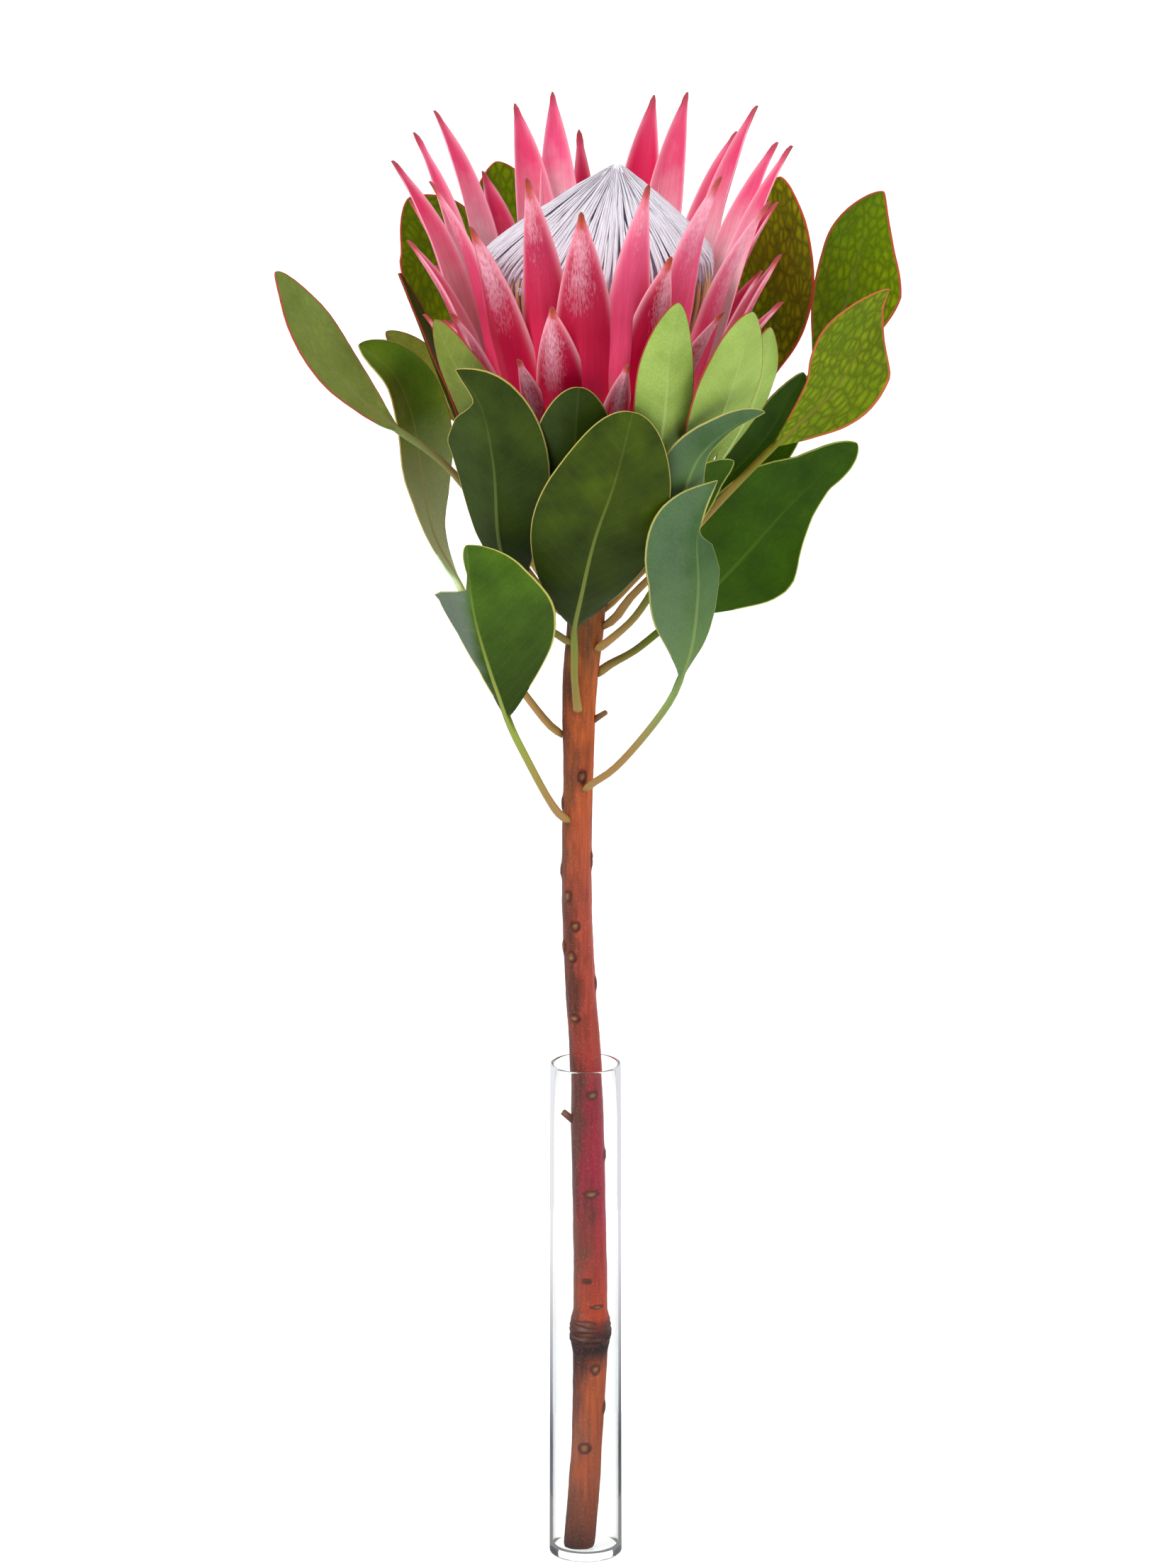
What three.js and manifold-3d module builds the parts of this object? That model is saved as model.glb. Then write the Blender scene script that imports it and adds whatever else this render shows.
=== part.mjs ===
import * as THREE from 'three';
import { mergeVertices } from 'three/addons/utils/BufferGeometryUtils.js';
import Module from 'manifold-3d';

// A king protea: one cut stem with its leaves and its flower head, standing in a slim glass tube.
// Millimetres, +Z up. The origin is the centre of the tube's flat underside, and -Y is the front.

// Driving dimensions
const GAP = 0.3;
const TUBE_HEIGHT = 234;
const TUBE_RIM_RADIUS = 16.0;
const TUBE_FOOT_RADIUS = 16.5;
const TUBE_WALL = 1.3;
const TUBE_FLOOR = 3.6;
const TUBE_FOOT_ROUNDING = 1.8;
const TUBE_SIDES = 26;

const STEM_TOP = 517;
const STEM_SIDES = 12;
const STEM_STEPS = 32;

const FOOT_GAP = 0.45;
const PETIOLE_HALF_WIDTH = 1.6;
const PETIOLE_FOOT_REACH = 4.5;
const PETIOLE_FOOT_RISE = 3.5;
const BLADE_EDGE = 0.36;
const BLADE_RIB = 0.5;
const BLADE_COLUMNS = [-1, -0.5, 0, 0.5, 1];
const BLADE_STEPS = 8;
const PETIOLE_STEPS = 3;

const CUP_CENTRE = [3, 0];
const CUP_TOP = STEM_TOP + GAP + 31;
const BRACT_CUP = 0.5;
const BRACT_RIB = 0.95;
const BRACT_EDGE = 0.42;
const BRACT_BOW = 3;
const BRACT_NIB = 1.5;

const DOME_FOOT = CUP_TOP + GAP;
const DOME_LEAN = 0.125;
const DOME_SIDES = 24;

const SEED = 20;

const wasm = await Module();
wasm.setup();

// Solids

// Welds a geometry's shared corners and drops the slivers that meet on an axis.
function weld(geometry) {
  const bare = new THREE.BufferGeometry();
  bare.setAttribute('position', geometry.getAttribute('position'));
  bare.setIndex(geometry.getIndex());
  const merged = mergeVertices(bare, 1e-4);
  const corners = merged.getIndex().array;
  const kept = [];
  for (let i = 0; i < corners.length; i += 3) {
    const [a, b, c] = [corners[i], corners[i + 1], corners[i + 2]];
    if (a !== b && b !== c && c !== a) kept.push(a, b, c);
  }
  merged.setIndex(kept);
  return merged;
}

function toSolid(geometry) {
  const merged = weld(geometry);
  return new wasm.Manifold(new wasm.Mesh({
    numProp: 3,
    vertProperties: new Float32Array(merged.getAttribute('position').array),
    triVerts: new Uint32Array(merged.getIndex().array),
  }));
}

// Joins overlapping geometries into one body, and fills any hairline void closed in between them.
function fuse(geometries) {
  let solid = toSolid(geometries[0]);
  for (const geometry of geometries.slice(1)) solid = solid.add(toSolid(geometry));
  const body = solid.decompose().reduce((a, b) => (a.volume() > b.volume() ? a : b));
  const mesh = body.getMesh();
  const fused = new THREE.BufferGeometry();
  fused.setAttribute('position', new THREE.BufferAttribute(mesh.vertProperties, mesh.numProp));
  fused.setIndex(Array.from(mesh.triVerts));
  return fused;
}

function geometryOf(points, index) {
  const geometry = new THREE.BufferGeometry();
  geometry.setFromPoints(points);
  geometry.setIndex(index);
  return geometry;
}

// A thin closed sheet between two grids of points. Both faces are triangulated alike.
function sheet(upper, lower) {
  const rows = upper.length;
  const across = upper[0].length;
  const up = (i, k) => i * across + k;
  const low = (i, k) => rows * across + i * across + k;
  const index = [];
  const quad = (a, b, c, d) => index.push(a, b, c, a, c, d);
  const last = across - 1;
  for (let i = 0; i < rows - 1; i += 1) {
    for (let k = 0; k < last; k += 1) {
      quad(up(i, k), up(i + 1, k), up(i + 1, k + 1), up(i, k + 1));
      quad(low(i, k), low(i, k + 1), low(i + 1, k + 1), low(i + 1, k));
    }
    quad(up(i, 0), low(i, 0), low(i + 1, 0), up(i + 1, 0));
    quad(up(i, last), up(i + 1, last), low(i + 1, last), low(i, last));
  }
  for (let k = 0; k < last; k += 1) {
    quad(up(0, k), up(0, k + 1), low(0, k + 1), low(0, k));
    quad(up(rows - 1, k), low(rows - 1, k), low(rows - 1, k + 1), up(rows - 1, k + 1));
  }
  return geometryOf([...upper.flat(), ...lower.flat()], index);
}

// A closed round rod through centres, with a radius for each and flat ends.
function rod(centres, tangents, radii, side, sides) {
  const points = [];
  centres.forEach((centre, i) => {
    const across = side.clone().addScaledVector(tangents[i], -side.dot(tangents[i])).normalize();
    const around = tangents[i].clone().cross(across);
    for (let k = 0; k < sides; k += 1) {
      const turn = (2 * Math.PI * k) / sides;
      const point = centre.clone().addScaledVector(across, radii[i] * Math.cos(turn));
      points.push(point.addScaledVector(around, radii[i] * Math.sin(turn)));
    }
  });
  const index = [];
  const at = (i, k) => i * sides + (k % sides);
  const end = centres.length - 1;
  for (let k = 0; k < sides; k += 1) {
    for (let i = 0; i < end; i += 1) {
      index.push(at(i, k), at(i, k + 1), at(i + 1, k + 1), at(i, k), at(i + 1, k + 1), at(i + 1, k));
    }
    if (k > 0 && k < sides - 1) {
      index.push(at(0, 0), at(0, k + 1), at(0, k));
      index.push(at(end, 0), at(end, k), at(end, k + 1));
    }
  }
  return geometryOf(points, index);
}

const vector = ([x, y, z]) => new THREE.Vector3(x, y, z);
const mix = THREE.MathUtils.lerp;
const ease = (t) => THREE.MathUtils.smoothstep(t, 0, 1);

// Reads a list of [place, value] pairs with straight stretches between them.
function along(pairs, place) {
  const next = pairs.findIndex(([at]) => at >= place);
  if (next === 0) return pairs[0][1];
  if (next < 0) return pairs[pairs.length - 1][1];
  const [[from, low], [to, high]] = [pairs[next - 1], pairs[next]];
  return mix(low, high, (place - from) / (to - from));
}

// A small repeatable random generator
let state = SEED;
function random() {
  state = (state * 16807) % 2147483647;
  return state / 2147483647;
}

// Glass tube

function tubeGeometry() {
  const profile = new THREE.Path();
  const bead = TUBE_WALL / 2;
  const innerRim = TUBE_RIM_RADIUS - TUBE_WALL;
  const innerFoot = TUBE_FOOT_RADIUS - TUBE_WALL;
  profile.moveTo(0, 0);
  profile.lineTo(TUBE_FOOT_RADIUS - TUBE_FOOT_ROUNDING, 0);
  profile.quadraticCurveTo(TUBE_FOOT_RADIUS, 0, TUBE_FOOT_RADIUS, TUBE_FOOT_ROUNDING);
  profile.lineTo(TUBE_RIM_RADIUS, TUBE_HEIGHT - bead);
  profile.absarc(TUBE_RIM_RADIUS - bead, TUBE_HEIGHT - bead, bead, 0, Math.PI, false);
  profile.lineTo(innerFoot, TUBE_FLOOR + 2);
  profile.quadraticCurveTo(innerFoot, TUBE_FLOOR, innerFoot - 2.5, TUBE_FLOOR);
  profile.lineTo(0, TUBE_FLOOR);
  const points = profile.getPoints(4);
  return weld(new THREE.LatheGeometry(points, TUBE_SIDES).rotateX(Math.PI / 2));
}

// Stem

// The stem stands on the tube's floor, leans on the back of its rim and bends back upright.
const STEM_ROUTE = [
  [-3, -5, 4.8], [-1, -4, 28], [1.5, -1, 74], [2.2, 2.5, 107], [2.2, 4.6, 131], [1.2, 6.6, 187],
  [0, 6.9, 234], [-2, 6.4, 263], [-4, 5, 313], [-3.3, 3.2, 367], [-2.5, 2, 413], [0, 1, 440],
  [1.6, 0, 480], [3, 0, STEM_TOP],
];
const STEM_RADIUS = [
  [4, 6.9], [26, 7.2], [49, 6.9], [72, 7.3], [96, 7.9], [102, 9.1], [107, 9.6], [111, 9.0],
  [116, 7.8], [131, 7.7], [214, 7.5], [240, 7.1], [262, 6.9], [333, 6.7], [367, 6.7], [390, 7.3],
  [413, 7.9], [434, 8.3], [475, 9], [500, 10], [STEM_TOP, 12],
];
// Buds and leaf scars: turn about the stem in degrees, height, size across and size along.
const STEM_BUMPS = [
  [285, 370, 1.7, 2.6], [186, 356, 1.8, 2.6], [350, 329, 1.5, 3.2], [182, 324, 1.4, 3.0],
  [235, 313, 1.6, 2.2], [262, 299, 1.8, 2.0], [200, 288, 1.4, 3.0], [242, 284, 1.9, 2.2],
  [355, 270, 1.4, 2.8], [240, 255, 2.2, 1.9], [290, 218, 2.4, 1.9], [352, 189, 1.4, 2.4],
  [278, 172, 2.4, 1.9], [300, 94, 2.4, 2.2], [345, 71, 1.4, 2.6], [255, 53, 2.2, 2.2],
  [80, 150, 2.3, 2.0], [110, 240, 2.2, 1.9], [70, 320, 2.0, 2.2], [95, 60, 2.2, 2.2],
];

const stemCurve = new THREE.CatmullRomCurve3(STEM_ROUTE.map(vector), false, 'centripetal');

function stemCentre(height) {
  let [low, high] = [0, 1];
  for (let i = 0; i < 24; i += 1) {
    const middle = (low + high) / 2;
    if (stemCurve.getPoint(middle).z < height) low = middle;
    else high = middle;
  }
  return stemCurve.getPoint(low);
}

function stemGeometry() {
  const heights = [];
  const shift = (STEM_TOP - STEM_ROUTE[0][2]) / STEM_STEPS;
  for (let i = 0; i <= STEM_STEPS; i += 1) heights.push(STEM_ROUTE[0][2] + shift * i);
  heights.push(102, 108, 112);
  heights.sort((a, b) => a - b);
  const centres = heights.map(stemCentre);
  const tangents = centres.map((centre, i) => {
    const before = centres[Math.max(i - 1, 0)];
    const after = centres[Math.min(i + 1, centres.length - 1)];
    return after.clone().sub(before).normalize();
  });
  tangents[0].set(0, 0, 1);
  tangents[tangents.length - 1].set(0, 0, 1);
  const radii = heights.map((height) => along(STEM_RADIUS, height));
  const pieces = [rod(centres, tangents, radii, new THREE.Vector3(1, 0, 0), STEM_SIDES)];
  for (const [turn, height, across, tall] of STEM_BUMPS) {
    const angle = THREE.MathUtils.degToRad(turn);
    const reach = along(STEM_RADIUS, height) - 0.35;
    const bump = new THREE.SphereGeometry(1, 5, 3).rotateX(Math.PI / 2).scale(1.5, across, tall);
    bump.rotateZ(angle);
    const centre = stemCentre(height);
    bump.translate(centre.x + reach * Math.cos(angle), centre.y + reach * Math.sin(angle), height);
    pieces.push(bump);
  }
  pieces.push(stubGeometry([-3, 5.5, 203], [-10.6, 4.6, 209], 1.7));
  pieces.push(stubGeometry([3, 1, 395], [9.3, -0.5, 399.5], 1.5));
  return fuse(pieces);
}

// A broken side twig, sunk in the stem at one end.
function stubGeometry(from, to, radius) {
  const [start, end] = [vector(from), vector(to)];
  const tangent = end.clone().sub(start).normalize();
  const side = new THREE.Vector3(0, 1, 0);
  return rod([start, end], [tangent, tangent], [radius, radius * 0.75], side, 6);
}

// Leaves

// foot: turn about the stem in degrees and height where the stalk is attached.
// rib: the free points of the stalk and midrib, up to the leaf's tip.
// blade: which of those points the blade begins at.
// sides: where the right-hand margin lies, seen from outside, from the blade's base to its tip.
// width and full: the blade's full width, and how far along it is widest.
// cup and wave: how far the margins rise towards the flower, and their waves in millimetres.
// left and right: where given, how much of its width each half keeps along the blade.
// blunt: how round the tip is, below 1 for a rounder one.
// crease: how steeply both halves rise straight from the midrib.
const LEAVES = [
  { name: 'leaf_left_far', foot: [190, 445], blade: 3, width: 33, full: 0.5,
    cup: 0.1, wave: [1.5, 1, 0],
    rib: [[-40, -14, 489], [-61, -23, 519], [-72, -28, 530], [-83, -30, 538], [-96, -32, 549],
      [-114, -32, 568], [-128, -30, 591], [-138, -28, 611]],
    sides: [[-0.35, -0.8, -0.45], [-0.35, -0.8, -0.45]],
    right: [[0, 0.8], [1, 0.7]] },
  { name: 'leaf_left_twisted', foot: [178, 388], blade: 3, width: 38, full: 0.6,
    cup: 0.2, wave: [2, 1.5, 0],
    rib: [[-26, 3, 405], [-42, 8, 427], [-50, 11, 441], [-57, 14, 455], [-69, 18, 478], [-74, 21, 503],
      [-78, 21, 530], [-86.5, 18, 552], [-102, 14, 566.5]],
    sides: [[-0.45, -0.85, -0.1], [-0.5, -0.8, -0.2]],
    left: [[0, 0.8], [0.5, 1], [0.75, 1.15], [1, 1]] },
  { name: 'leaf_left_behind', foot: [150, 474], blade: 2, width: 18, full: 0.5,
    cup: 0.1, wave: [0, 1, 0],
    rib: [[-24, 20, 488], [-44, 36, 509], [-55, 44, 521], [-66, 50, 536], [-76, 51, 550], [-90, 48, 564]],
    sides: [[-0.6, -0.5, -0.6], [-0.5, -0.5, -0.6]] },
  { name: 'leaf_front_left', foot: [213, 433], blade: 1, width: 50, full: 0.62,
    cup: 0.12, wave: [2, 1, 0.3], crease: 0.12,
    rib: [[-20, -14, 445], [-29, -22, 460], [-38, -40, 488], [-41, -56, 531], [-47, -64, 560],
      [-57.5, -67, 576]],
    sides: [[0.88, -0.45, 0], [0.88, -0.45, 0.2]],
    left: [[0, 0.6], [0.4, 0.85], [0.65, 1], [0.78, 0.75], [0.86, 0.15], [1, 0.1]] },
  { name: 'leaf_front_small', foot: [262, 463], blade: 1, width: 36, full: 0.65,
    cup: 0.1, wave: [0.5, 1, 0], blunt: 0.5,
    rib: [[-1, -18, 474], [-4, -28, 485], [-5, -46, 507], [-5, -60, 533], [-4, -68, 553], [-3, -71, 569]],
    sides: [[1, 0, 0], [1, 0, 0]] },
  { name: 'leaf_front_large', foot: [266, 402], blade: 2, width: 58, full: 0.52,
    cup: 0.1, wave: [1.5, 1.5, 0], blunt: 0.5,
    rib: [[-5, -16, 420], [-5, -22, 433], [-5, -30, 447], [-2, -46, 466], [4, -64, 497], [13, -76, 527],
      [21, -84, 561]],
    sides: [[1, 0, 0], [1, 0.05, -0.2]] },
  { name: 'leaf_upright', foot: [288, 475], blade: 2, width: 28, full: 0.6,
    cup: 0.15, wave: [0.5, 1, 0],
    rib: [[11, -20, 486], [18, -34, 498], [24, -44, 510], [31, -60, 531], [35, -75, 559], [37, -82, 586],
      [41, -84, 611]],
    sides: [[0.9, 0.4, 0], [0.9, 0.35, 0]] },
  { name: 'leaf_right_pale', foot: [326, 474], blade: 2, width: 36, full: 0.6,
    cup: 0.12, wave: [0.6, 1, 0],
    rib: [[22, -13, 486], [35, -22, 500], [46, -33, 515], [54, -47, 534], [61, -64, 556], [68, -71, 580],
      [74, -69, 603]],
    sides: [[0.73, 0.68, 0], [0.73, 0.6, 0]] },
  { name: 'leaf_right_pale_behind', foot: [335, 490], blade: 2, width: 28, full: 0.6,
    cup: 0.1, wave: [0, 1, 0],
    rib: [[24, -9, 498], [42, -14, 508], [57, -20, 519], [69, -29, 539], [76, -37, 557], [80, -39, 573],
      [82, -38, 588]],
    sides: [[0.6, 0.75, 0], [0.6, 0.75, 0]] },
  { name: 'leaf_right_folded', foot: [305, 468], blade: 2, width: 34, full: 0.5,
    cup: 0.2, wave: [1, 1, 0],
    rib: [[15, -21, 479], [25, -37, 487], [34, -49, 498], [42, -60, 515], [51, -71, 538], [65, -76, 552],
      [79.5, -72, 558]],
    sides: [[0.6, 0.4, -0.5], [0.45, 0.5, -0.6]],
    left: [[0, 1], [0.3, 0.95], [0.5, 0.78], [0.75, 0.6], [1, 0.7]],
    right: [[0, 1], [0.35, 0.9], [0.5, 0.5], [0.65, 0.12], [1, 0.1]] },
  { name: 'leaf_right_rolled', foot: [318, 430], blade: 2, width: 32, full: 0.5,
    cup: 0.1, wave: [0.5, 1, 0],
    rib: [[21, -13, 446], [30, -22, 462], [38, -31, 480], [46, -39, 501], [55, -43, 517], [66, -43, 528]],
    sides: [[-0.6, -0.5, 0.5], [-0.35, -0.6, 0.7]],
    left: [[0, 0.5], [1, 0.45]],
    right: [[0, 0.6], [0.45, 0.65], [0.7, 1.2], [1, 1.6]] },
  { name: 'leaf_right_twisted', foot: [302, 364], blade: 3, width: 42, full: 0.55,
    cup: 0.2, wave: [2.5, 1.5, 0.4], crease: 0.2, blunt: 0.9,
    rib: [[12, -14, 376], [24, -24, 392], [38, -40, 416], [42, -47, 427], [47, -57, 445], [50, -66, 476],
      [49.5, -68, 499], [52.5, -67, 512], [58.5, -66, 525]],
    sides: [[0.8, 0.55, 0], [0.8, 0.5, 0], [0.7, 0.6, 0]],
    left: [[0, 0.5], [0.12, 0.75], [0.3, 0.95], [0.55, 1.05], [0.72, 1.2], [0.86, 1.4], [1, 1.4]],
    right: [[0, 0.3], [0.2, 0.62], [0.52, 0.82], [0.67, 0.66], [0.76, 0.06], [1, 0.05]] },
  { name: 'leaf_right_dark', foot: [6, 417], blade: 2, width: 52, full: 0.42,
    cup: 0.06, wave: [3, 1.5, 0.2],
    rib: [[22, 0, 428], [36, 1, 439], [46, 2, 445], [66, 5, 465], [94, 8, 496], [122, 6, 523]],
    sides: [[-0.7, -0.15, 0.7], [-0.65, -0.15, 0.7]],
    left: [[0, 1], [0.36, 1], [0.435, 0.84], [0.52, 0.66], [0.64, 0.52], [0.78, 0.42], [0.92, 0.6],
      [1, 0.7]],
    right: [[0, 1.1], [0.65, 1.15], [0.72, 1.05], [0.79, 0.88], [0.86, 0.85], [1, 0.9]] },
  { name: 'leaf_right_yellow', foot: [342, 440], blade: 4, width: 38, full: 0.55,
    cup: 0.2, wave: [2, 1, 0.2],
    rib: [[20, -12, 456], [34, -17, 472], [58, -18, 500], [74, -13, 516], [84, -8, 525], [97, -3, 536],
      [112, 1, 550], [124.5, 2, 572], [136, -1, 596]],
    sides: [[-0.6, -0.45, 0.6], [-0.7, -0.35, 0.4]],
    left: [[0, 1], [0.45, 1], [0.6, 0.95], [0.75, 0.5], [0.9, 0.15], [1, 0.1]],
    right: [[0, 1], [0.6, 1], [0.8, 1.35], [0.92, 1.5], [1, 1.2]] },
  { name: 'leaf_right_far', foot: [28, 446], blade: 3, width: 42, full: 0.55,
    cup: 0.1, wave: [1.5, 1.5, 0],
    rib: [[28, 15, 464], [58, 28, 489], [88, 42, 522], [103, 50, 545], [112, 54, 560], [120, 55, 583],
      [125, 52, 606], [134, 44, 630]],
    sides: [[-0.9, 0.35, 0.2], [-0.9, 0.3, 0]],
    left: [[0, 1.2], [0.5, 1.2], [0.8, 0.75], [1, 0.4]],
    right: [[0, 1], [0.6, 0.8], [1, 0.8]] },
  { name: 'leaf_right_back', foot: [52, 452], blade: 3, width: 42, full: 0.55,
    cup: 0.15, wave: [1, 1, 0],
    rib: [[22, 22, 466], [46, 38, 486], [63, 52, 508], [76, 64, 530], [84, 73, 554], [87, 75, 580],
      [88, 72, 606], [88, 68, 631]],
    sides: [[-0.85, 0.5, 0], [-0.85, 0.5, 0]] },
  { name: 'leaf_right_shaded', foot: [8, 462], blade: 2, width: 28, full: 0.55,
    cup: 0.15, wave: [0.5, 1, 0],
    rib: [[26, 8, 474], [44, 14, 487], [60, 18, 501], [80, 24, 520], [90, 27, 536], [98, 25, 551]],
    sides: [[-0.5, -0.4, 0.6], [-0.5, -0.4, 0.6]] },
  { name: 'leaf_left_back', foot: [138, 458], blade: 3, width: 42, full: 0.6,
    cup: 0.12, wave: [1, 1, 0],
    rib: [[-18, 24, 476], [-35, 46, 502], [-46, 60, 522], [-55, 70, 541], [-63, 79, 570], [-68, 80, 600],
      [-80, 72, 620]],
    sides: [[-0.9, -0.4, 0], [-0.9, -0.4, 0]] },
  { name: 'leaf_back_left', foot: [112, 452], blade: 3, width: 40, full: 0.6,
    cup: 0.12, wave: [1, 1, 0],
    rib: [[-8, 28, 472], [-15, 50, 500], [-20, 66, 518], [-25, 82, 540], [-32, 100, 573], [-36.5, 104, 604],
      [-40.5, 101, 630]],
    sides: [[-1, -0.3, 0], [-1, -0.3, 0]] },
  { name: 'leaf_left_edge', foot: [164, 449], blade: 2, width: 30, full: 0.6,
    cup: 0.1, wave: [0.5, 1, 0],
    rib: [[-26, 9, 470], [-42, 15, 500], [-50, 18, 515], [-59, 20, 534], [-67, 22, 554], [-77, 22, 580],
      [-84, 20, 598]],
    sides: [[0, -1, 0], [0, -1, 0]] },
  { name: 'leaf_left_pale', foot: [206, 466], blade: 2, width: 28, full: 0.55,
    cup: 0.12, wave: [0.5, 1, 0],
    rib: [[-17, -13, 480], [-28, -26, 500], [-36, -36, 518], [-43, -46, 540], [-50, -52, 560],
      [-59, -52, 577], [-67, -48, 594]],
    sides: [[0.7, -0.6, 0.4], [0.6, -0.6, 0.5]] },
  { name: 'leaf_lower_left', foot: [228, 349], blade: 3, width: 52, full: 0.55,
    cup: 0.25, wave: [2, 1, 0], crease: 0.25,
    rib: [[-17, -17, 364], [-28, -33, 390], [-32, -39, 400], [-35, -44, 409], [-43, -56, 436],
      [-50, -63, 465], [-53, -62, 494]],
    sides: [[0.85, -0.4, 0.2], [0.85, -0.4, 0.3]],
    left: [[0, 0.3], [0.3, 0.3], [0.5, 0.55], [0.68, 0.95], [0.71, 0.9], [0.75, 0.12], [1, 0.08]],
    right: [[0, 1.1], [0.5, 1.2], [0.85, 1.35], [1, 1.6]] },
  { name: 'leaf_back_low', foot: [95, 396], blade: 1, width: 52, full: 0.5,
    cup: 0.12, wave: [1.5, 1.5, 0],
    rib: [[-2, 24, 418], [0, 36, 436], [4, 56, 465], [10, 70, 497], [15, 76, 530]],
    sides: [[-1, 0.1, 0], [-1, 0.1, 0]] },
  { name: 'leaf_back_right', foot: [72, 446], blade: 2, width: 42, full: 0.55,
    cup: 0.12, wave: [1, 1.5, 0],
    rib: [[10, 26, 468], [17, 44, 490], [24, 60, 512], [31, 78, 540], [37, 90, 566], [41, 93, 590]],
    sides: [[-0.95, 0.3, 0], [-0.95, 0.3, 0]] },
  { name: 'leaf_back_side', foot: [45, 482], blade: 1, width: 36, full: 0.55,
    cup: 0.12, wave: [1, 1, 0],
    rib: [[26, 22, 498], [38, 34, 508], [54, 52, 530], [62, 66, 556], [64, 72, 584]],
    sides: [[-0.8, 0.6, 0], [-0.8, 0.6, 0]] },
  { name: 'leaf_back_middle', foot: [100, 484], blade: 1, width: 40, full: 0.55,
    cup: 0.12, wave: [1, 1, 0],
    rib: [[-1, 26, 500], [-2, 38, 510], [-4, 60, 532], [-3, 76, 558], [-1, 82, 586]],
    sides: [[-1, 0, 0], [-1, 0, 0]] },
];

function bladeShape(share, full, blunt) {
  if (share < full) return Math.sin((share / full) * (Math.PI / 2)) ** 0.9;
  return Math.max(Math.cos(((share - full) / (1 - full)) * (Math.PI / 2)), 0) ** blunt;
}

const WHOLE = [[0, 1], [1, 1]];

function leafGeometry(leaf) {
  const { foot, rib, blade, sides, width, full, cup, wave } = leaf;
  const { left = WHOLE, right = WHOLE, blunt = 0.6, crease = 0.05 } = leaf;
  const [turn, height] = foot;
  const angle = THREE.MathUtils.degToRad(turn);
  const outward = new THREE.Vector3(Math.cos(angle), Math.sin(angle), 0);
  const start = stemCentre(height).addScaledVector(outward, along(STEM_RADIUS, height) + FOOT_GAP);
  const knee = start.clone().addScaledVector(outward, PETIOLE_FOOT_REACH);
  knee.z += PETIOLE_FOOT_RISE;
  const route = [start, knee, ...rib.map(vector)];
  const curve = new THREE.CatmullRomCurve3(route, false, 'centripetal');
  const lengths = curve.getLengths(400);
  const bladeStart = lengths[Math.round((400 * (blade + 2)) / (route.length - 1))] / curve.getLength();

  const stations = [];
  for (let i = 0; i < PETIOLE_STEPS; i += 1) {
    stations.push({ place: bladeStart * (i / PETIOLE_STEPS) ** 1.6, share: 0, stalk: 1 });
  }
  for (let i = 0; i <= BLADE_STEPS; i += 1) {
    const share = (1 - Math.cos((Math.PI * i) / BLADE_STEPS)) / 2;
    stations.push({ place: mix(bladeStart, 1, share), share, stalk: Math.max(1 - 7 * share, 0) });
  }

  const [upper, lower] = [[], []];
  stations.forEach(({ place, share, stalk }, row) => {
    const centre = curve.getPointAt(place);
    const ahead = row === 0 ? outward.clone() : curve.getTangentAt(place);
    const spot = share * (sides.length - 1);
    const before = Math.min(Math.floor(spot), sides.length - 2);
    const across = vector(sides[before]).lerp(vector(sides[before + 1]), spot - before);
    across.addScaledVector(ahead, -across.dot(ahead)).normalize();
    const inward = ahead.clone().cross(across);
    const stalkWidth = PETIOLE_HALF_WIDTH * (1 - share) * (row === 0 ? 1.3 : 1);
    const spread = (width / 2) * bladeShape(share, full, blunt);
    const [tall, cycles, phase] = wave;
    const rise = share * (1 - share) * 4;
    const [high, under] = [[], []];
    for (const s of BLADE_COLUMNS) {
      const half = Math.max(stalkWidth, spread * along(s < 0 ? left : right, share), 0.7);
      const ripple = tall * rise * s * Math.abs(s) * Math.sin(2 * Math.PI * (cycles * share + phase));
      const lift = half * (cup * s * s + crease * Math.abs(s)) * (1 - stalk) + ripple;
      const round = PETIOLE_HALF_WIDTH * Math.sqrt(1 - 0.88 * s * s);
      const flat = BLADE_EDGE + BLADE_RIB * (1 - share) * (1 - Math.abs(s)) ** 2;
      const thick = mix(flat, round, stalk);
      const middle = centre.clone().addScaledVector(across, half * s).addScaledVector(inward, lift);
      high.push(middle.clone().addScaledVector(inward, thick));
      under.push(middle.addScaledVector(inward, -thick));
    }
    upper.push(high);
    lower.push(under);
  });
  return sheet(upper, lower);
}

// Flower head

// Bracts that the front view shows: tip, width, the ring that they grow in and any twist in degrees.
const BRACTS = [
  [[-68, 50, 666], 20, 'inner'], [[-32, 80, 662], 22, 'inner'], [[-15, 86, 666], 21, 'inner'],
  [[31, 84, 665], 23, 'inner'], [[46, 77, 668], 21, 'inner'], [[68, 60, 654], 21, 'inner'],
  [[77, 47, 669], 19, 'inner'], [[86, 31, 656], 18, 'inner', 25], [[92, 8, 660], 17, 'inner', 26],
  [[-77, 33, 660], 12, 'inner', -30], [[-86, -8, 657], 21, 'inner', -35],
  [[-69, -47, 657], 24, 'inner', -15],
  [[-26, -82, 667], 25, 'inner'], [[28, -85, 665], 23, 'inner'], [[60, -67, 664], 24, 'inner'],
  [[82, -39, 646], 23, 'second'], [[-3, 92, 647], 14, 'second'], [[-55, 72, 632], 18, 'second'],
  [[-79, -30, 626], 20, 'second', -25], [[-51, -66, 641], 26, 'second'], [[-2, -88, 653], 30, 'second'],
  [[38, -77, 630], 26, 'second'], [[87, -24, 618], 15, 'outer', 20], [[88, -12, 593], 13, 'outer', 15],
  [[61, -57, 600], 18, 'outer'], [[-15, -76, 607], 26, 'outer'], [[-60, -39, 595], 13, 'outer'],
  [[-72, -18, 589], 12, 'outer'], [[-30, -60, 579], 15, 'lowest'], [[19, -66, 578], 15, 'lowest'],
];
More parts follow.
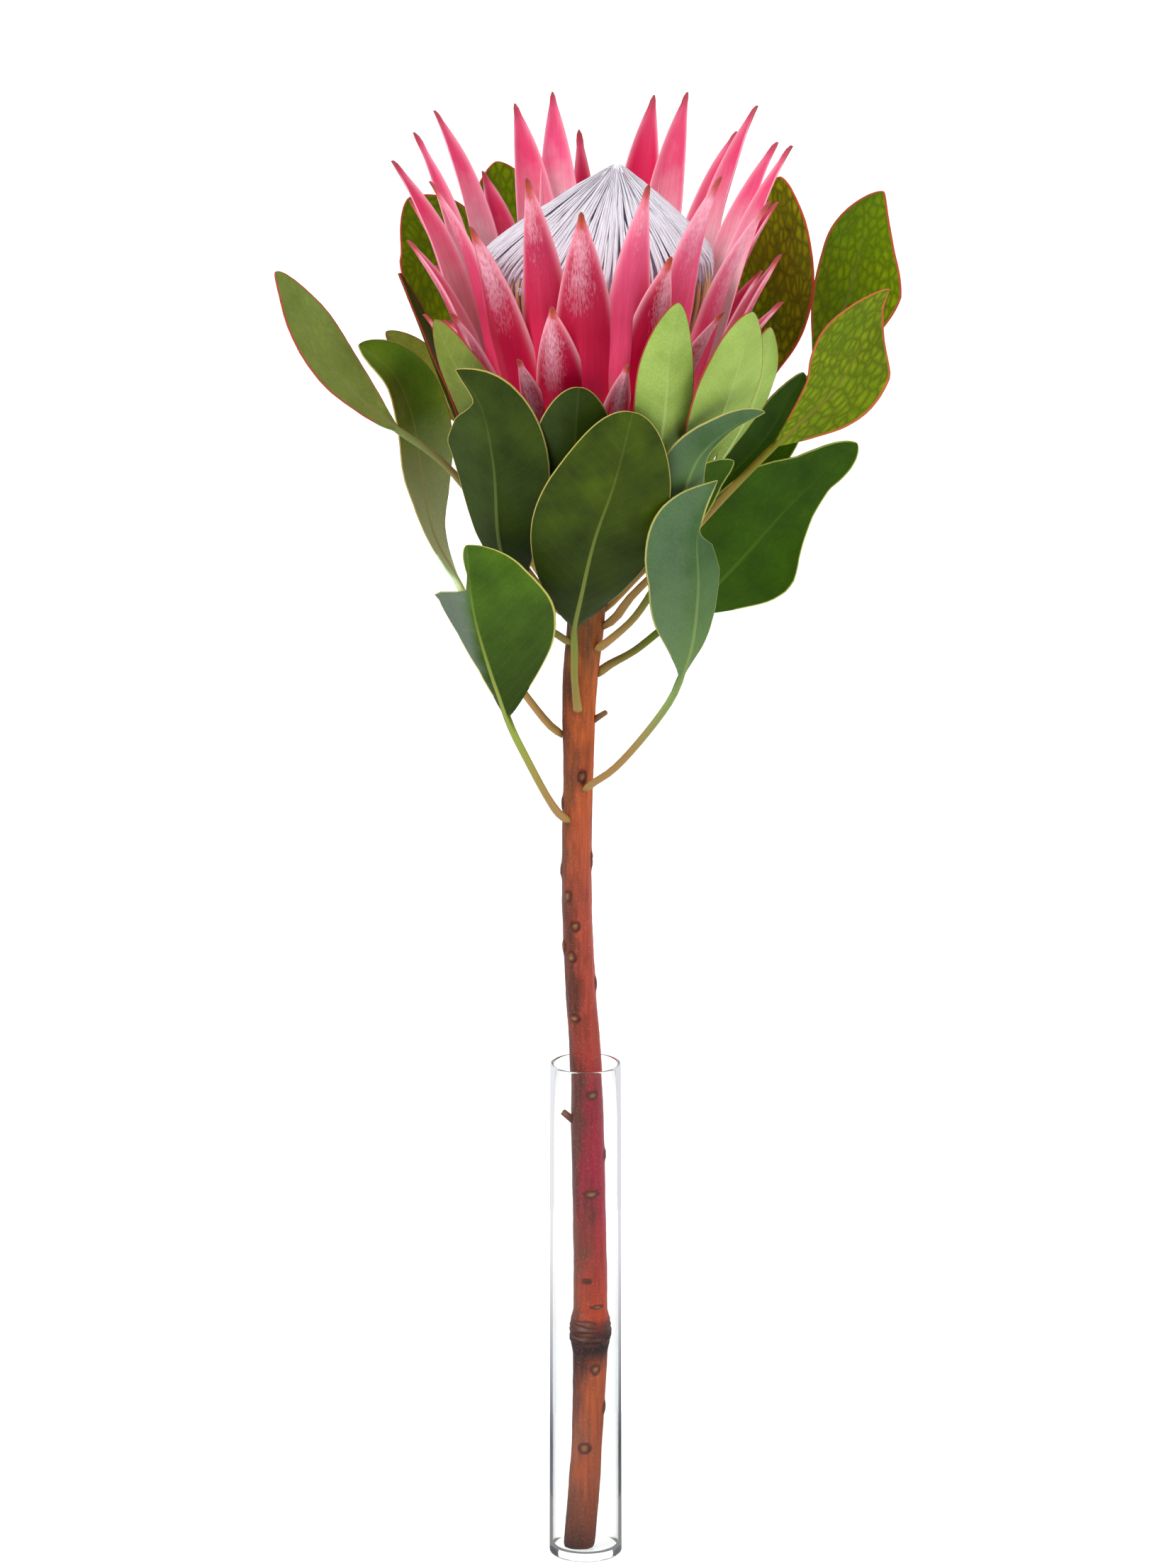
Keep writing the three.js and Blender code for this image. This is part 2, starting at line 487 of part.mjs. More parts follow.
// Bracts behind the head, evenly spread with a little chance: turns, reach, height, width, ring.
const BACK_BRACTS = [
  { turns: [18, 50, 76, 124, 160], reach: 86, height: 634, width: 21, ring: 'second' },
  { turns: [14, 50, 85, 120, 156], reach: 79, height: 603, width: 19, ring: 'outer' },
  { turns: [5, 60, 115, 170], reach: 66, height: 577, width: 16, ring: 'lowest' },
];
const RINGS = {
  inner: { root: [38, 544], lean: 0.19, steps: [0, 0.22, 0.45, 0.68, 0.87, 1] },
  second: { root: [36, 539], lean: 0.17, steps: [0, 0.22, 0.45, 0.68, 0.87, 1] },
  outer: { root: [31, 532], lean: 0.14, steps: [0, 0.25, 0.52, 0.8, 1] },
  lowest: { root: [25, 526], lean: 0.16, steps: [0, 0.3, 0.62, 1] },
};

// The wooden cup that carries the bracts, from the stem's top to the florets' seat.
function cupGeometry() {
  const foot = STEM_TOP + GAP;
  const profile = [[0, foot], [12.5, foot], [24, 522], [34, 530], [41, 540], [43.5, CUP_TOP], [0, CUP_TOP]];
  const points = profile.map(([radius, height]) => new THREE.Vector2(radius, height));
  const cup = new THREE.LatheGeometry(points, 28).rotateX(Math.PI / 2);
  return cup.translate(CUP_CENTRE[0], CUP_CENTRE[1], 0);
}

// roundOff: how full the bract stays before it narrows to its tip.
function bractShape(share, roundOff) {
  if (share < 0.4) return mix(0.55, 1, ease(share / 0.4));
  return 1 - ((share - 0.4) / 0.6) ** roundOff;
}

// A pointed bract with a blunt nib. It bows in towards the dome, so its tip bends away.
function bractGeometry(tip, width, ringName, twist = 0) {
  const { root, lean, steps } = RINGS[ringName];
  const centre = new THREE.Vector3(CUP_CENTRE[0], CUP_CENTRE[1], 0);
  const reach = Math.hypot(tip[0] - centre.x, tip[1] - centre.y);
  const outward = new THREE.Vector3(tip[0] - centre.x, tip[1] - centre.y, 0).divideScalar(reach);
  const tangential = new THREE.Vector3(-outward.y, outward.x, 0);
  const rise = tip[2] - root[1];
  const roundOff = mix(2.1, 3.4, ease(0.5 + 0.5 * outward.y));
  const at = (radius, height) => centre.clone().addScaledVector(outward, radius).setZ(height);
  const path = new THREE.CubicBezierCurve3(
    at(root[0], root[1]), at(root[0] + 22, root[1] + 3),
    at(reach - lean * rise, tip[2] - 0.5 * rise), at(reach, tip[2]),
  );
  const [upper, lower] = [[], []];
  for (const share of steps) {
    const ahead = path.getTangent(share);
    const turn = THREE.MathUtils.degToRad(twist) * ease(share * 2);
    const across = tangential.clone().applyAxisAngle(ahead, turn);
    const inward = ahead.clone().cross(across);
    const nib = share < 1 ? BRACT_NIB : 0.5;
    const half = Math.max((width / 2) * bractShape(share, roundOff), nib);
    const bow = BRACT_BOW * 6.75 * share * share * (1 - share);
    const rib = mix(BRACT_RIB, 0.5, share);
    const [high, under] = [[], []];
    for (const s of [-1, 0, 1]) {
      const middle = path.getPoint(share).addScaledVector(across, half * s);
      middle.addScaledVector(inward, BRACT_CUP * half * s * s + bow);
      const thick = s === 0 ? rib : BRACT_EDGE;
      high.push(middle.clone().addScaledVector(inward, thick));
      under.push(middle.addScaledVector(inward, -thick));
    }
    upper.push(high);
    lower.push(under);
  }
  return sheet(upper, lower);
}

function bractsGeometry() {
  const pieces = [cupGeometry()];
  for (const bract of BRACTS) pieces.push(bractGeometry(...bract));
  for (const { turns, reach, height, width, ring } of BACK_BRACTS) {
    for (const turn of turns) {
      const angle = THREE.MathUtils.degToRad(turn + mix(-2, 2, random()));
      const far = reach + mix(-2, 2, random());
      const tip = [CUP_CENTRE[0] + far * Math.cos(angle), CUP_CENTRE[1] + far * Math.sin(angle),
        height + mix(-5, 5, random())];
      pieces.push(bractGeometry(tip, width, ring));
    }
  }
  return fuse(pieces);
}

// The florets' outline over a smaller core: radius and height above their seat.
const CORE_PROFILE = [
  [0, 0], [33, 0], [42, 30], [46, 49], [43.5, 58], [34, 70], [18, 86], [0, 99],
];
// Rings of florets: how many, their half width, and the route of each from root to tip.
const FLORET_RINGS = [
  { count: 30, half: 3.4, route: [[31, 5], [47, 42], [48.5, 55], [37, 71]] },
  { count: 24, half: 3.0, route: [[40, 54], [43, 62], [35.5, 73], [26, 83]] },
  { count: 17, half: 2.8, route: [[28, 68], [31, 75.5], [23.5, 85.5], [15, 94.5]] },
  { count: 10, half: 2.4, route: [[16, 80], [19, 87], [12, 96.5], [5, 102.5]] },
  { count: 3, half: 2.2, route: [[3, 90], [4.5, 97], [2.5, 102], [0.8, 104.6]] },
];

function placeInDome(radius, height, turn) {
  const x = CUP_CENTRE[0] + radius * Math.cos(turn) + DOME_LEAN * height;
  return new THREE.Vector3(x, CUP_CENTRE[1] + radius * Math.sin(turn), DOME_FOOT + height);
}

function floretGeometry(route, half, turn) {
  const centres = route.map(([radius, height]) => placeInDome(radius, height, turn));
  const curve = new THREE.CatmullRomCurve3(centres, false, 'centripetal');
  const tangents = centres.map((_, i) => curve.getTangent(i / (centres.length - 1)));
  const radii = centres.map((_, i) => (i === centres.length - 1 ? 0.5 : half));
  const outward = new THREE.Vector3(Math.cos(turn), Math.sin(turn), 1);
  return rod(centres, tangents, radii, outward, 3);
}

function domeGeometry() {
  const points = CORE_PROFILE.map(([radius, height]) => new THREE.Vector2(radius, height));
  const core = new THREE.LatheGeometry(points, DOME_SIDES).rotateX(Math.PI / 2);
  const place = core.getAttribute('position');
  for (let i = 0; i < place.count; i += 1) {
    place.setXYZ(i, place.getX(i) + CUP_CENTRE[0] + DOME_LEAN * place.getZ(i), place.getY(i) + CUP_CENTRE[1],
      place.getZ(i) + DOME_FOOT);
  }
  const pieces = [core];
  FLORET_RINGS.forEach(({ count, half, route }, ring) => {
    for (let i = 0; i < count; i += 1) {
      const turn = (2 * Math.PI * (i + ring * 0.37 + mix(-0.12, 0.12, random()))) / count;
      pieces.push(floretGeometry(route, half, turn));
    }
  });
  return fuse(pieces);
}

// Assembly

const group = new THREE.Group();

function addPiece(name, geometry, color, roughness, metalness = 0) {
  const material = new THREE.MeshStandardMaterial({ color, roughness, metalness });
  const mesh = new THREE.Mesh(geometry, material);
  mesh.name = name;
  group.add(mesh);
}

addPiece('vase_tube', tubeGeometry(), '#dfe6e6', 0.05);
addPiece('stem', stemGeometry(), '#a65a35', 0.6);
addPiece('bracts', bractsGeometry(), '#c63a61', 0.55);
addPiece('florets', domeGeometry(), '#ddd8de', 0.8);
for (const leaf of LEAVES) addPiece(leaf.name, leafGeometry(leaf), '#5d8548', 0.45);

export default group;
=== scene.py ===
"""A king protea: one cut stem with its leaves and its flower head, standing in a clear glass tube.

Measures in the tables are in millimetres. Each mesh is shaped in millimetres and then scaled to metres.
The origin is the centre of the tube's flat underside, +Z is up and -Y is the front.
"""
import bisect
import math
import random

import bmesh
import bpy
from mathutils import Matrix, Vector, noise


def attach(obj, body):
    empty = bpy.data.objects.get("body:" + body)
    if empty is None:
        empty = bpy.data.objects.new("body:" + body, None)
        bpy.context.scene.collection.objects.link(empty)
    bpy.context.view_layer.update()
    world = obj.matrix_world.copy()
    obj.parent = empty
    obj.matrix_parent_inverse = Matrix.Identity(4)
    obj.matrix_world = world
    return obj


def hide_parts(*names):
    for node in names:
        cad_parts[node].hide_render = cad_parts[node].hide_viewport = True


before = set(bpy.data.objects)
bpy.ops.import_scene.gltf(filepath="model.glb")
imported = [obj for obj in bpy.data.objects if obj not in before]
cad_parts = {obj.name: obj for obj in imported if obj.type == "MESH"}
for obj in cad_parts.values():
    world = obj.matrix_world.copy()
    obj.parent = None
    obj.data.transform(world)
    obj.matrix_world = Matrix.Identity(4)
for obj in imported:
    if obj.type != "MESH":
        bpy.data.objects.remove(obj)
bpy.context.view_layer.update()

MM = 0.001
SEED = 20
FINE = 24  # places on a route between two of its points

# Measures that the pieces share
STEM_TOP = 517
CUP_TOP = 548.3
DOME_FOOT = 548.6
CUP_X = 3  # how far the cup stands to the right of the tube's axis
CLEARANCE = 0.1  # between the stem and what it carries
VEIN_GAP = 7  # along the leaf, between its side veins
VEIN_RISE = 0.85  # how far a side vein runs towards the tip for each millimetre aside


# Small tools

def mix(a, b, share):
    """What lies at a share of the way from a to b."""
    return a + (b - a) * share


def ease(t):
    """A soft step from 0 to 1."""
    t = min(max(t, 0), 1)
    return t * t * (3 - 2 * t)


def along(pairs, place):
    """Reads a list of (place, value) pairs with straight stretches between them."""
    for (start, low), (end, high) in zip(pairs, pairs[1:]):
        if place <= end:
            return mix(low, high, min(max((place - start) / (end - start), 0), 1))
    return pairs[-1][1]


def route_through(points):
    """A smooth centripetal curve through points: its places, and the length up to each."""
    points = [Vector(p) for p in points]
    guides = [points[0] * 2 - points[1], *points, points[-1] * 2 - points[-2]]
    places = []
    for p0, p1, p2, p3 in zip(guides, guides[1:], guides[2:], guides[3:]):
        d0, d1, d2 = [max((b - a).length, 1e-4) ** 0.5 for a, b in ((p0, p1), (p1, p2), (p2, p3))]
        start = ((p1 - p0) / d0 - (p2 - p0) / (d0 + d1) + (p2 - p1) / d1) * d1
        end = ((p2 - p1) / d1 - (p3 - p1) / (d1 + d2) + (p3 - p2) / d2) * d1
        for k in range(FINE):
            t = k / FINE
            bend = 3 * (p2 - p1) - 2 * start - end
            places.append(p1 + start * t + bend * t ** 2 + (2 * (p1 - p2) + start + end) * t ** 3)
    places.append(points[-1])
    lengths = [0]
    for a, b in zip(places, places[1:]):
        lengths.append(lengths[-1] + (b - a).length)
    return places, lengths


def on_route(route, share):
    """The place at a share of a route's length, and the direction there."""
    places, lengths = route
    want = min(max(share, 0), 1) * lengths[-1]
    i = min(max(bisect.bisect_left(lengths, want), 1), len(lengths) - 1)
    t = (want - lengths[i - 1]) / (lengths[i] - lengths[i - 1])
    before = places[i] - places[max(i - 2, 0)]
    after = places[min(i + 1, len(places) - 1)] - places[i - 1]
    return places[i - 1].lerp(places[i], t), before.lerp(after, t).normalized()


def new_mesh(names):
    """An empty mesh, and its layers that hold a number on each corner for each name."""
    bm = bmesh.new()
    for name in names:
        bm.verts.layers.float.new(name)
    return bm, [bm.verts.layers.float[name] for name in names]


def write(corner, layers, values):
    """Writes a corner's values, which its material reads."""
    for layer, value in zip(layers, values):
        corner[layer] = value


def slab(bm, steps, columns):
    """Adds a closed flat slab. Gives each corner with its step, its column, and 1 on top or 0 below."""
    made = bmesh.ops.create_grid(bm, x_segments=steps, y_segments=columns, size=0.5)["verts"]
    faces = list(dict.fromkeys(face for v in made for face in v.link_faces))
    walled = bmesh.ops.solidify(bm, geom=faces, thickness=0.1)["geom"]
    under = [g for g in walled if isinstance(g, bmesh.types.BMVert)]
    corners = [(v, 1) for v in made] + [(v, 0) for v in under]
    return [(v, round((v.co.x + 0.5) * steps), round((v.co.y + 0.5) * columns), top) for v, top in corners]


def rolled(bm, steps, sides):
    """Adds a grid to be rolled up. Gives each corner with its step and its side; side 0 meets the last."""
    made = bmesh.ops.create_grid(bm, x_segments=steps, y_segments=sides, size=0.5)["verts"]
    return [(v, round((v.co.x + 0.5) * steps), round((v.co.y + 0.5) * sides)) for v in made]


def turned(bm, profile, steps, axis_x=0):
    """Turns a profile of (radius, height) pairs into a closed round shape. Gives its corners."""
    before = set(bm.verts)
    verts = [bm.verts.new((axis_x + radius, 0, height)) for radius, height in profile]
    edges = [bm.edges.new(pair) for pair in zip(verts, verts[1:])]
    bmesh.ops.spin(bm, geom=verts + edges, cent=(axis_x, 0, 0), axis=(0, 0, 1), angle=math.tau, steps=steps,
                   use_merge=True, use_duplicate=False)
    bmesh.ops.remove_doubles(bm, verts=[v for v in bm.verts if v not in before], dist=0.001)
    return [v for v in bm.verts if v not in before]


def placed(bm, name, material):
    """Puts a mesh into the scene as an object with one material."""
    mesh = bpy.data.meshes.new(name)
    bm.to_mesh(mesh)
    bm.free()
    mesh.materials.append(material)
    made = bpy.data.objects.new(name, mesh)
    bpy.context.scene.collection.objects.link(made)
    return made


def finished(bm, name, material, node):
    """Turns a mesh in millimetres into a smooth piece that stands for a CAD node."""
    bmesh.ops.recalc_face_normals(bm, faces=bm.faces[:])
    bmesh.ops.scale(bm, vec=(MM, MM, MM), verts=bm.verts[:])
    for face in bm.faces:
        face.smooth = True
    piece = placed(bm, name, material)
    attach(piece, "root")
    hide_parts(node)
    return piece


# Finishes

# What the corners hold for the finishes. reach, aside, margin and height are millimetres: along the piece,
# from its middle line, in from its margin, and above the tube's underside. inner is 1 on the side towards the
# flower, share goes from the foot to the tip, and tone makes each piece a little different. pale, silver, tan
# and scar say how much of each shows, and turn is 1 on the stem's right and 0 on its left.
LEAF_VALUES = ("reach", "aside", "margin", "inner", "share", "tone")
BRACT_VALUES = LEAF_VALUES + ("pale", "silver")
FLORET_VALUES = ("reach", "aside", "tan", "tone")
STEM_VALUES = ("height", "scar", "turn")


def linear(hex_colour):
    """A colour written as sRGB hex, as the linear light that a shader wants."""
    parts = [int(hex_colour[i:i + 2], 16) / 255 for i in (1, 3, 5)]
    return (*[c / 12.92 if c <= 0.04045 else ((c + 0.055) / 1.055) ** 2.4 for c in parts], 1)


def add(tree, kind, inputs=(), out=None, stops=(), **settings):
    """Adds a node with its settings, and gives its first output, or the one that out names.

    inputs holds links, colours and numbers, by name or in the order of the inputs in use. stops holds the
    places and colours of a ramp.
    """
    node = tree.nodes.new("ShaderNode" + kind)
    for key, value in settings.items():
        setattr(node, key, value)
    if isinstance(inputs, dict):
        pairs = [(node.inputs[key], value) for key, value in inputs.items()]
    else:
        pairs = zip([socket for socket in node.inputs if socket.enabled], inputs)
    for socket, value in pairs:
        if isinstance(value, bpy.types.NodeSocket):
            tree.links.new(value, socket)
        else:
            socket.default_value = linear(value) if isinstance(value, str) else value
    if stops:
        ramp = node.color_ramp
        while len(ramp.elements) < len(stops):
            ramp.elements.new(0.5)
        for element, (place, colour) in zip(ramp.elements, stops):
            element.position = place
            element.color = linear(colour)
    return node.outputs[out] if out else next((socket for socket in node.outputs if socket.enabled), None)


def blank(name):
    """A new material, and its empty node tree."""
    material = bpy.data.materials.new(name)
    material.use_nodes = True
    material.node_tree.nodes.clear()
    return material, material.node_tree


def millimetres(tree):
    """Object coordinates, turned to millimetres."""
    spot = add(tree, "TexCoord", out="Object")
    return add(tree, "VectorMath", [spot, 1 / MM], operation="SCALE")


def leaf_finish(name, outer, inner, margin, rib, low=None, low_inner=None, net=0.0, vein=0.03, gloss=0.36,
                shine=0.15, left_sheen=0.0, edge=0.32):
    """Fresh leathery leaf: a waxy skin with soft broad highlights.

    The eye sees a pale raised midrib, a thin coloured margin and side veins. left_sheen is how much painted
    grey-green sheen lies on the left half, where the light falls. Where light comes through, net is how dark
    the net of veins round the light cells is, and the cells' bright colour is painted light coming through
    the leaf.
    outer and inner hold each side's light and dark colour, and inner then the net's. low and low_inner are
    the colours near the stalk, and edge is the width of the margin's line in millimetres.
    """
    material, tree = blank(name)
    read = {k: add(tree, "Attribute", out="Fac", attribute_name=k) for k in LEAF_VALUES}
    lateral = add(tree, "Math", [read["aside"]], operation="ABSOLUTE")
    spot = add(tree, "CombineXYZ", [read["reach"], read["aside"], read["tone"]])
    # Clouds of colour 18 mm wide, and specks of 0.9 mm
    patches = add(tree, "TexNoise", {"Vector": spot, "Scale": 1 / 18, "Detail": 2.0})
    specks = add(tree, "TexNoise", {"Vector": spot, "Scale": 1 / 0.9, "Detail": 2.0})
    cloud = add(tree, "MapRange", [patches, 0.25, 0.75])

    # Side veins rise from the midrib towards the margin
    slope = add(tree, "Math", [lateral, -VEIN_RISE, read["reach"]], operation="MULTIPLY_ADD")
    curved = add(tree, "Math", [patches, 5.0, slope], operation="MULTIPLY_ADD")
    apart = add(tree, "Math", [curved, VEIN_GAP / 2], operation="PINGPONG")
    veins = add(tree, "MapRange", [apart, 0.1, 0.75, 1.0, 0.0])
    # The net's cells are 6.5 mm long and 3 mm wide
    long_spot = add(tree, "Mapping", {"Vector": spot, "Scale": (1 / 6.5, 1 / 3, 1.0)})
    cells = add(tree, "TexVoronoi", {"Vector": long_spot, "Scale": 1.0}, feature="DISTANCE_TO_EDGE")
    walls = add(tree, "Math", [patches, 0.5, cells], operation="MULTIPLY_ADD")
    netted = add(tree, "MapRange", [walls, 0.17, 0.58, 1.0, 0.0])

    early = add(tree, "MapRange", [read["share"], 0.1, 0.65, 1.0, 0.0])
    pale = add(tree, "Math", [veins, vein], operation="MULTIPLY")
    # A painted grey-green sheen over the left half of the leaf, where the light falls
    painted_sheen = add(tree, "Math", [cloud, 8.0, read["aside"]], operation="MULTIPLY_ADD")
    painted_sheen = add(tree, "MapRange", [painted_sheen, -4.0, 4.0, left_sheen, 0.0])
    out = outer[0]
    for amount, colour in ((cloud, outer[1]), (early, low or outer[1]), (pale, rib), (painted_sheen, "#68746a")):
        out = add(tree, "Mix", [amount, out, colour], data_type="RGBA")
    # Inner colours: in the glowing finishes the bright cells are painted light coming through the leaf
    within = add(tree, "Mix", [cloud, inner[0], inner[1]], data_type="RGBA")
    if low_inner:
        within = add(tree, "Mix", [early, within, low_inner], data_type="RGBA")
    darker = add(tree, "Math", [netted, net], operation="MULTIPLY")
    within = add(tree, "Mix", [darker, within, inner[2]], data_type="RGBA")
    skin = add(tree, "Mix", [read["inner"], out, within], data_type="RGBA")
    grain = add(tree, "MapRange", [specks, 0.3, 0.7, 0.9, 1.08])
    skin = add(tree, "VectorMath", [skin, grain], operation="SCALE")

    # The midrib narrows and fades towards the tip, from 1.2 mm to 0.5 mm on each side with its soft edge
    rib_half = add(tree, "MapRange", [read["share"], 0.0, 1.0, 0.85, 0.15])
    stalk = add(tree, "MapRange", [read["reach"], -10.0, 4.0, 1.0, 0.0])
    woody = add(tree, "MapRange", [read["reach"], -56.0, -14.0, 1.0, 0.0])
    twig = add(tree, "Mix", [woody, rib, "#a2804a"], data_type="RGBA")
    ridge = add(tree, "Math", [lateral, rib_half], operation="SUBTRACT")
    ridge = add(tree, "MapRange", [ridge, 0.0, 0.35, 0.9, 0.0])
    far = add(tree, "MapRange", [read["share"], 0.2, 0.8, 1.0, 0.15])
    ridge = add(tree, "Math", [ridge, far], operation="MULTIPLY")
    rim = add(tree, "MapRange", [read["margin"], edge * 0.6, edge * 1.4, 1.0, 0.0])
    for amount, colour in ((ridge, rib), (rim, margin), (stalk, twig)):
        skin = add(tree, "Mix", [amount, skin, colour], data_type="RGBA")

    raised = add(tree, "Math", [veins, 0.3, specks], operation="MULTIPLY_ADD")
    bump = add(tree, "Bump", {"Height": raised, "Strength": 0.12, "Distance": 0.3 * MM})
    dull = add(tree, "MapRange", [patches, 0.3, 0.7, gloss - 0.05, gloss + 0.07])
    shader = add(tree, "BsdfPrincipled", {
        "Base Color": skin, "Normal": bump, "Roughness": dull, "Specular IOR Level": shine})
    add(tree, "OutputMaterial", [shader])
    return material


def velvet_bract():
    """Velvety bract. Its outside is crimson with silver down near the tip, and its inside pale and smooth."""
    material, tree = blank("velvety_bract")
    read = {k: add(tree, "Attribute", out="Fac", attribute_name=k) for k in BRACT_VALUES}
    spot = add(tree, "CombineXYZ", [read["reach"], read["aside"], read["tone"]])
    # Fibres 14 mm long and 0.9 mm wide, clouds of 9 mm, and hairs drawn 2.5 mm long and 0.6 mm wide, which is
    # coarser than real down, so that they show
    long_spot = add(tree, "Mapping", {"Vector": spot, "Scale": (1 / 14, 1 / 0.9, 1.0)})
    fibres = add(tree, "TexNoise", {"Vector": long_spot, "Scale": 1.0, "Detail": 3.0})
    patches = add(tree, "TexNoise", {"Vector": spot, "Scale": 1 / 9, "Detail": 2.0})
    hair_spot = add(tree, "Mapping", {"Vector": spot, "Scale": (1 / 2.5, 1 / 0.6, 1.0)})
    grit = add(tree, "TexNoise", {"Vector": hair_spot, "Scale": 1.0, "Detail": 3.0})

    deep = add(tree, "ValToRGB", [read["share"]], stops=[
        (0.0, "#d8684a"), (0.16, "#e4484c"), (0.32, "#dc1446"), (0.6, "#a4022c"), (0.8, "#a01036"),
        (0.92, "#c23a52"), (0.965, "#b4462e"), (1.0, "#7a3418")])
    light = add(tree, "ValToRGB", [read["share"]], stops=[
        (0.0, "#e88a66"), (0.2, "#f48a8e"), (0.4, "#ec4c76"), (0.6, "#cc3c62"), (0.8, "#ce5074"),
        (0.92, "#e0708a"), (0.965, "#b84a4c"), (1.0, "#7a3418")])
    outside = add(tree, "Mix", [read["pale"], deep, light], data_type="RGBA")
    flush = add(tree, "ValToRGB", [read["share"]], stops=[
        (0.0, "#7a2030"), (0.3, "#a82448"), (0.5, "#b81c48"), (0.7, "#be1444"), (0.86, "#c4244f"),
        (0.95, "#c23a5e"), (1.0, "#8f3838")])
    blush = add(tree, "ValToRGB", [read["share"]], stops=[
        (0.0, "#a04a50"), (0.3, "#cf969a"), (0.6, "#dc94a6"), (0.75, "#dc7090"), (0.88, "#d84c76"),
        (0.96, "#cc4a6e"), (1.0, "#8f3838")])
    inside = add(tree, "Mix", [read["pale"], flush, blush], data_type="RGBA")
    # Inside, a cream flame rises from the foot between the deeper margins
    flame = add(tree, "Math", [patches, 0.2, read["share"]], operation="MULTIPLY_ADD")
    flame = add(tree, "MapRange", [flame, 0.74, 0.97, 1.0, 0.0])
    flame = add(tree, "Math", [flame, read["pale"]], operation="MULTIPLY")
    middle = add(tree, "MapRange", [read["margin"], 0.5, 5.0, 0.35, 1.0])
    flame = add(tree, "Math", [flame, middle], operation="MULTIPLY")
    inside = add(tree, "Mix", [flame, inside, "#d8b4b6"], data_type="RGBA")

    # Silver down lies in a soft band on the outside, denser towards the tip, with grain where it thins
    grain = add(tree, "Math", [grit, 2.0, read["silver"]], operation="MULTIPLY_ADD")
    grain = add(tree, "Math", [patches, 0.8, grain], operation="MULTIPLY_ADD")
    down = add(tree, "MapRange", [grain, 1.95, 3.05, 0.0, 0.82])
    silver = add(tree, "MapRange", [read["share"], 0.55, 0.85])
    silver = add(tree, "Mix", [silver, "#8a5a68", "#deaaba"], data_type="RGBA")
    outside = add(tree, "Mix", [down, outside, silver], data_type="RGBA")
    not_tip = add(tree, "MapRange", [read["share"], 0.93, 0.97, 1.0, 0.1])

    colour = add(tree, "Mix", [read["inner"], outside, inside], data_type="RGBA")
    shade = add(tree, "MapRange", [fibres, 0.3, 0.7, 0.9, 1.06])
    colour = add(tree, "VectorMath", [colour, shade], operation="SCALE")
    # Pale margins, but not at the tip: partly a fringe of fine white hairs, partly painted rim light
    rim = add(tree, "MapRange", [read["margin"], 0.0, 3.8, 0.9, 0.0])
    rim = add(tree, "Math", [rim, 3.5], operation="POWER")
    rim = add(tree, "Math", [rim, not_tip], operation="MULTIPLY")
    colour = add(tree, "Mix", [rim, colour, "#f0b0c0"], data_type="RGBA")
    relief = add(tree, "Math", [fibres, grit], operation="ADD")
    bump = add(tree, "Bump", {"Height": relief, "Strength": 0.35, "Distance": 0.3 * MM})
    # Thin bracts pass some light on, and a little glow stands for that
    shader = add(tree, "BsdfPrincipled", {
        "Base Color": colour, "Emission Color": colour, "Emission Strength": 0.2, "Normal": bump,
        "Roughness": 0.5, "Specular IOR Level": 0.1, "Sheen Weight": 0.03, "Sheen Roughness": 0.4,
        "Subsurface Weight": 0.08, "Subsurface Radius": (1.0, 0.3, 0.35), "Subsurface Scale": 2 * MM})
    add(tree, "OutputMaterial", [shader])
    return material


def silky_floret():
    """Silky floret. Fine white hairs lie along it with painted lavender-grey shade between them, and its dry
    tube is tan.
    """
    material, tree = blank("silky_floret")
    read = {k: add(tree, "Attribute", out="Fac", attribute_name=k) for k in FLORET_VALUES}
    spot = add(tree, "CombineXYZ", [read["reach"], read["aside"], read["tone"]])
    # Hairs drawn 9 mm long and 0.3 mm wide, which is coarser than real silk, so that they show
    long_spot = add(tree, "Mapping", {"Vector": spot, "Scale": (1 / 9, 1 / 0.3, 3.0)})
    hairs = add(tree, "TexNoise", {"Vector": long_spot, "Scale": 1.0, "Detail": 3.0})
    # The ramp's lavender-grey end is painted shade between the hairs
    silk = add(tree, "ValToRGB", [hairs], stops=[
        (0.28, "#a59eb2"), (0.42, "#cbc7d1"), (0.56, "#dad9e0"), (0.8, "#e8e8ee")])
    dry = add(tree, "Mix", [hairs, "#9a7034", "#ecd08c"], data_type="RGBA")
    colour = add(tree, "Mix", [read["tan"], silk, dry], data_type="RGBA")
    bump = add(tree, "Bump", {"Height": hairs, "Strength": 0.4, "Distance": 0.3 * MM})
    shader = add(tree, "BsdfPrincipled", {
        "Base Color": colour, "Normal": bump, "Roughness": 0.6, "Sheen Weight": 0.3})
    add(tree, "OutputMaterial", [shader])
    return material


def mauve_core():
    """Painted mauve shade for the gaps between the florets."""
    material, tree = blank("mauve_floret_gap_shade")
    # Clouds of 2 mm, as wide as the gaps
    cloud = add(tree, "TexNoise", {"Vector": millimetres(tree), "Scale": 1 / 2, "Detail": 3.0})
    # The mauve colours are painted shade in the gaps
    colour = add(tree, "Mix", [cloud, "#a595ab", "#cdc2d2"], data_type="RGBA")
    shader = add(tree, "BsdfPrincipled", {"Base Color": colour, "Roughness": 0.8})
    add(tree, "OutputMaterial", [shader])
    return material


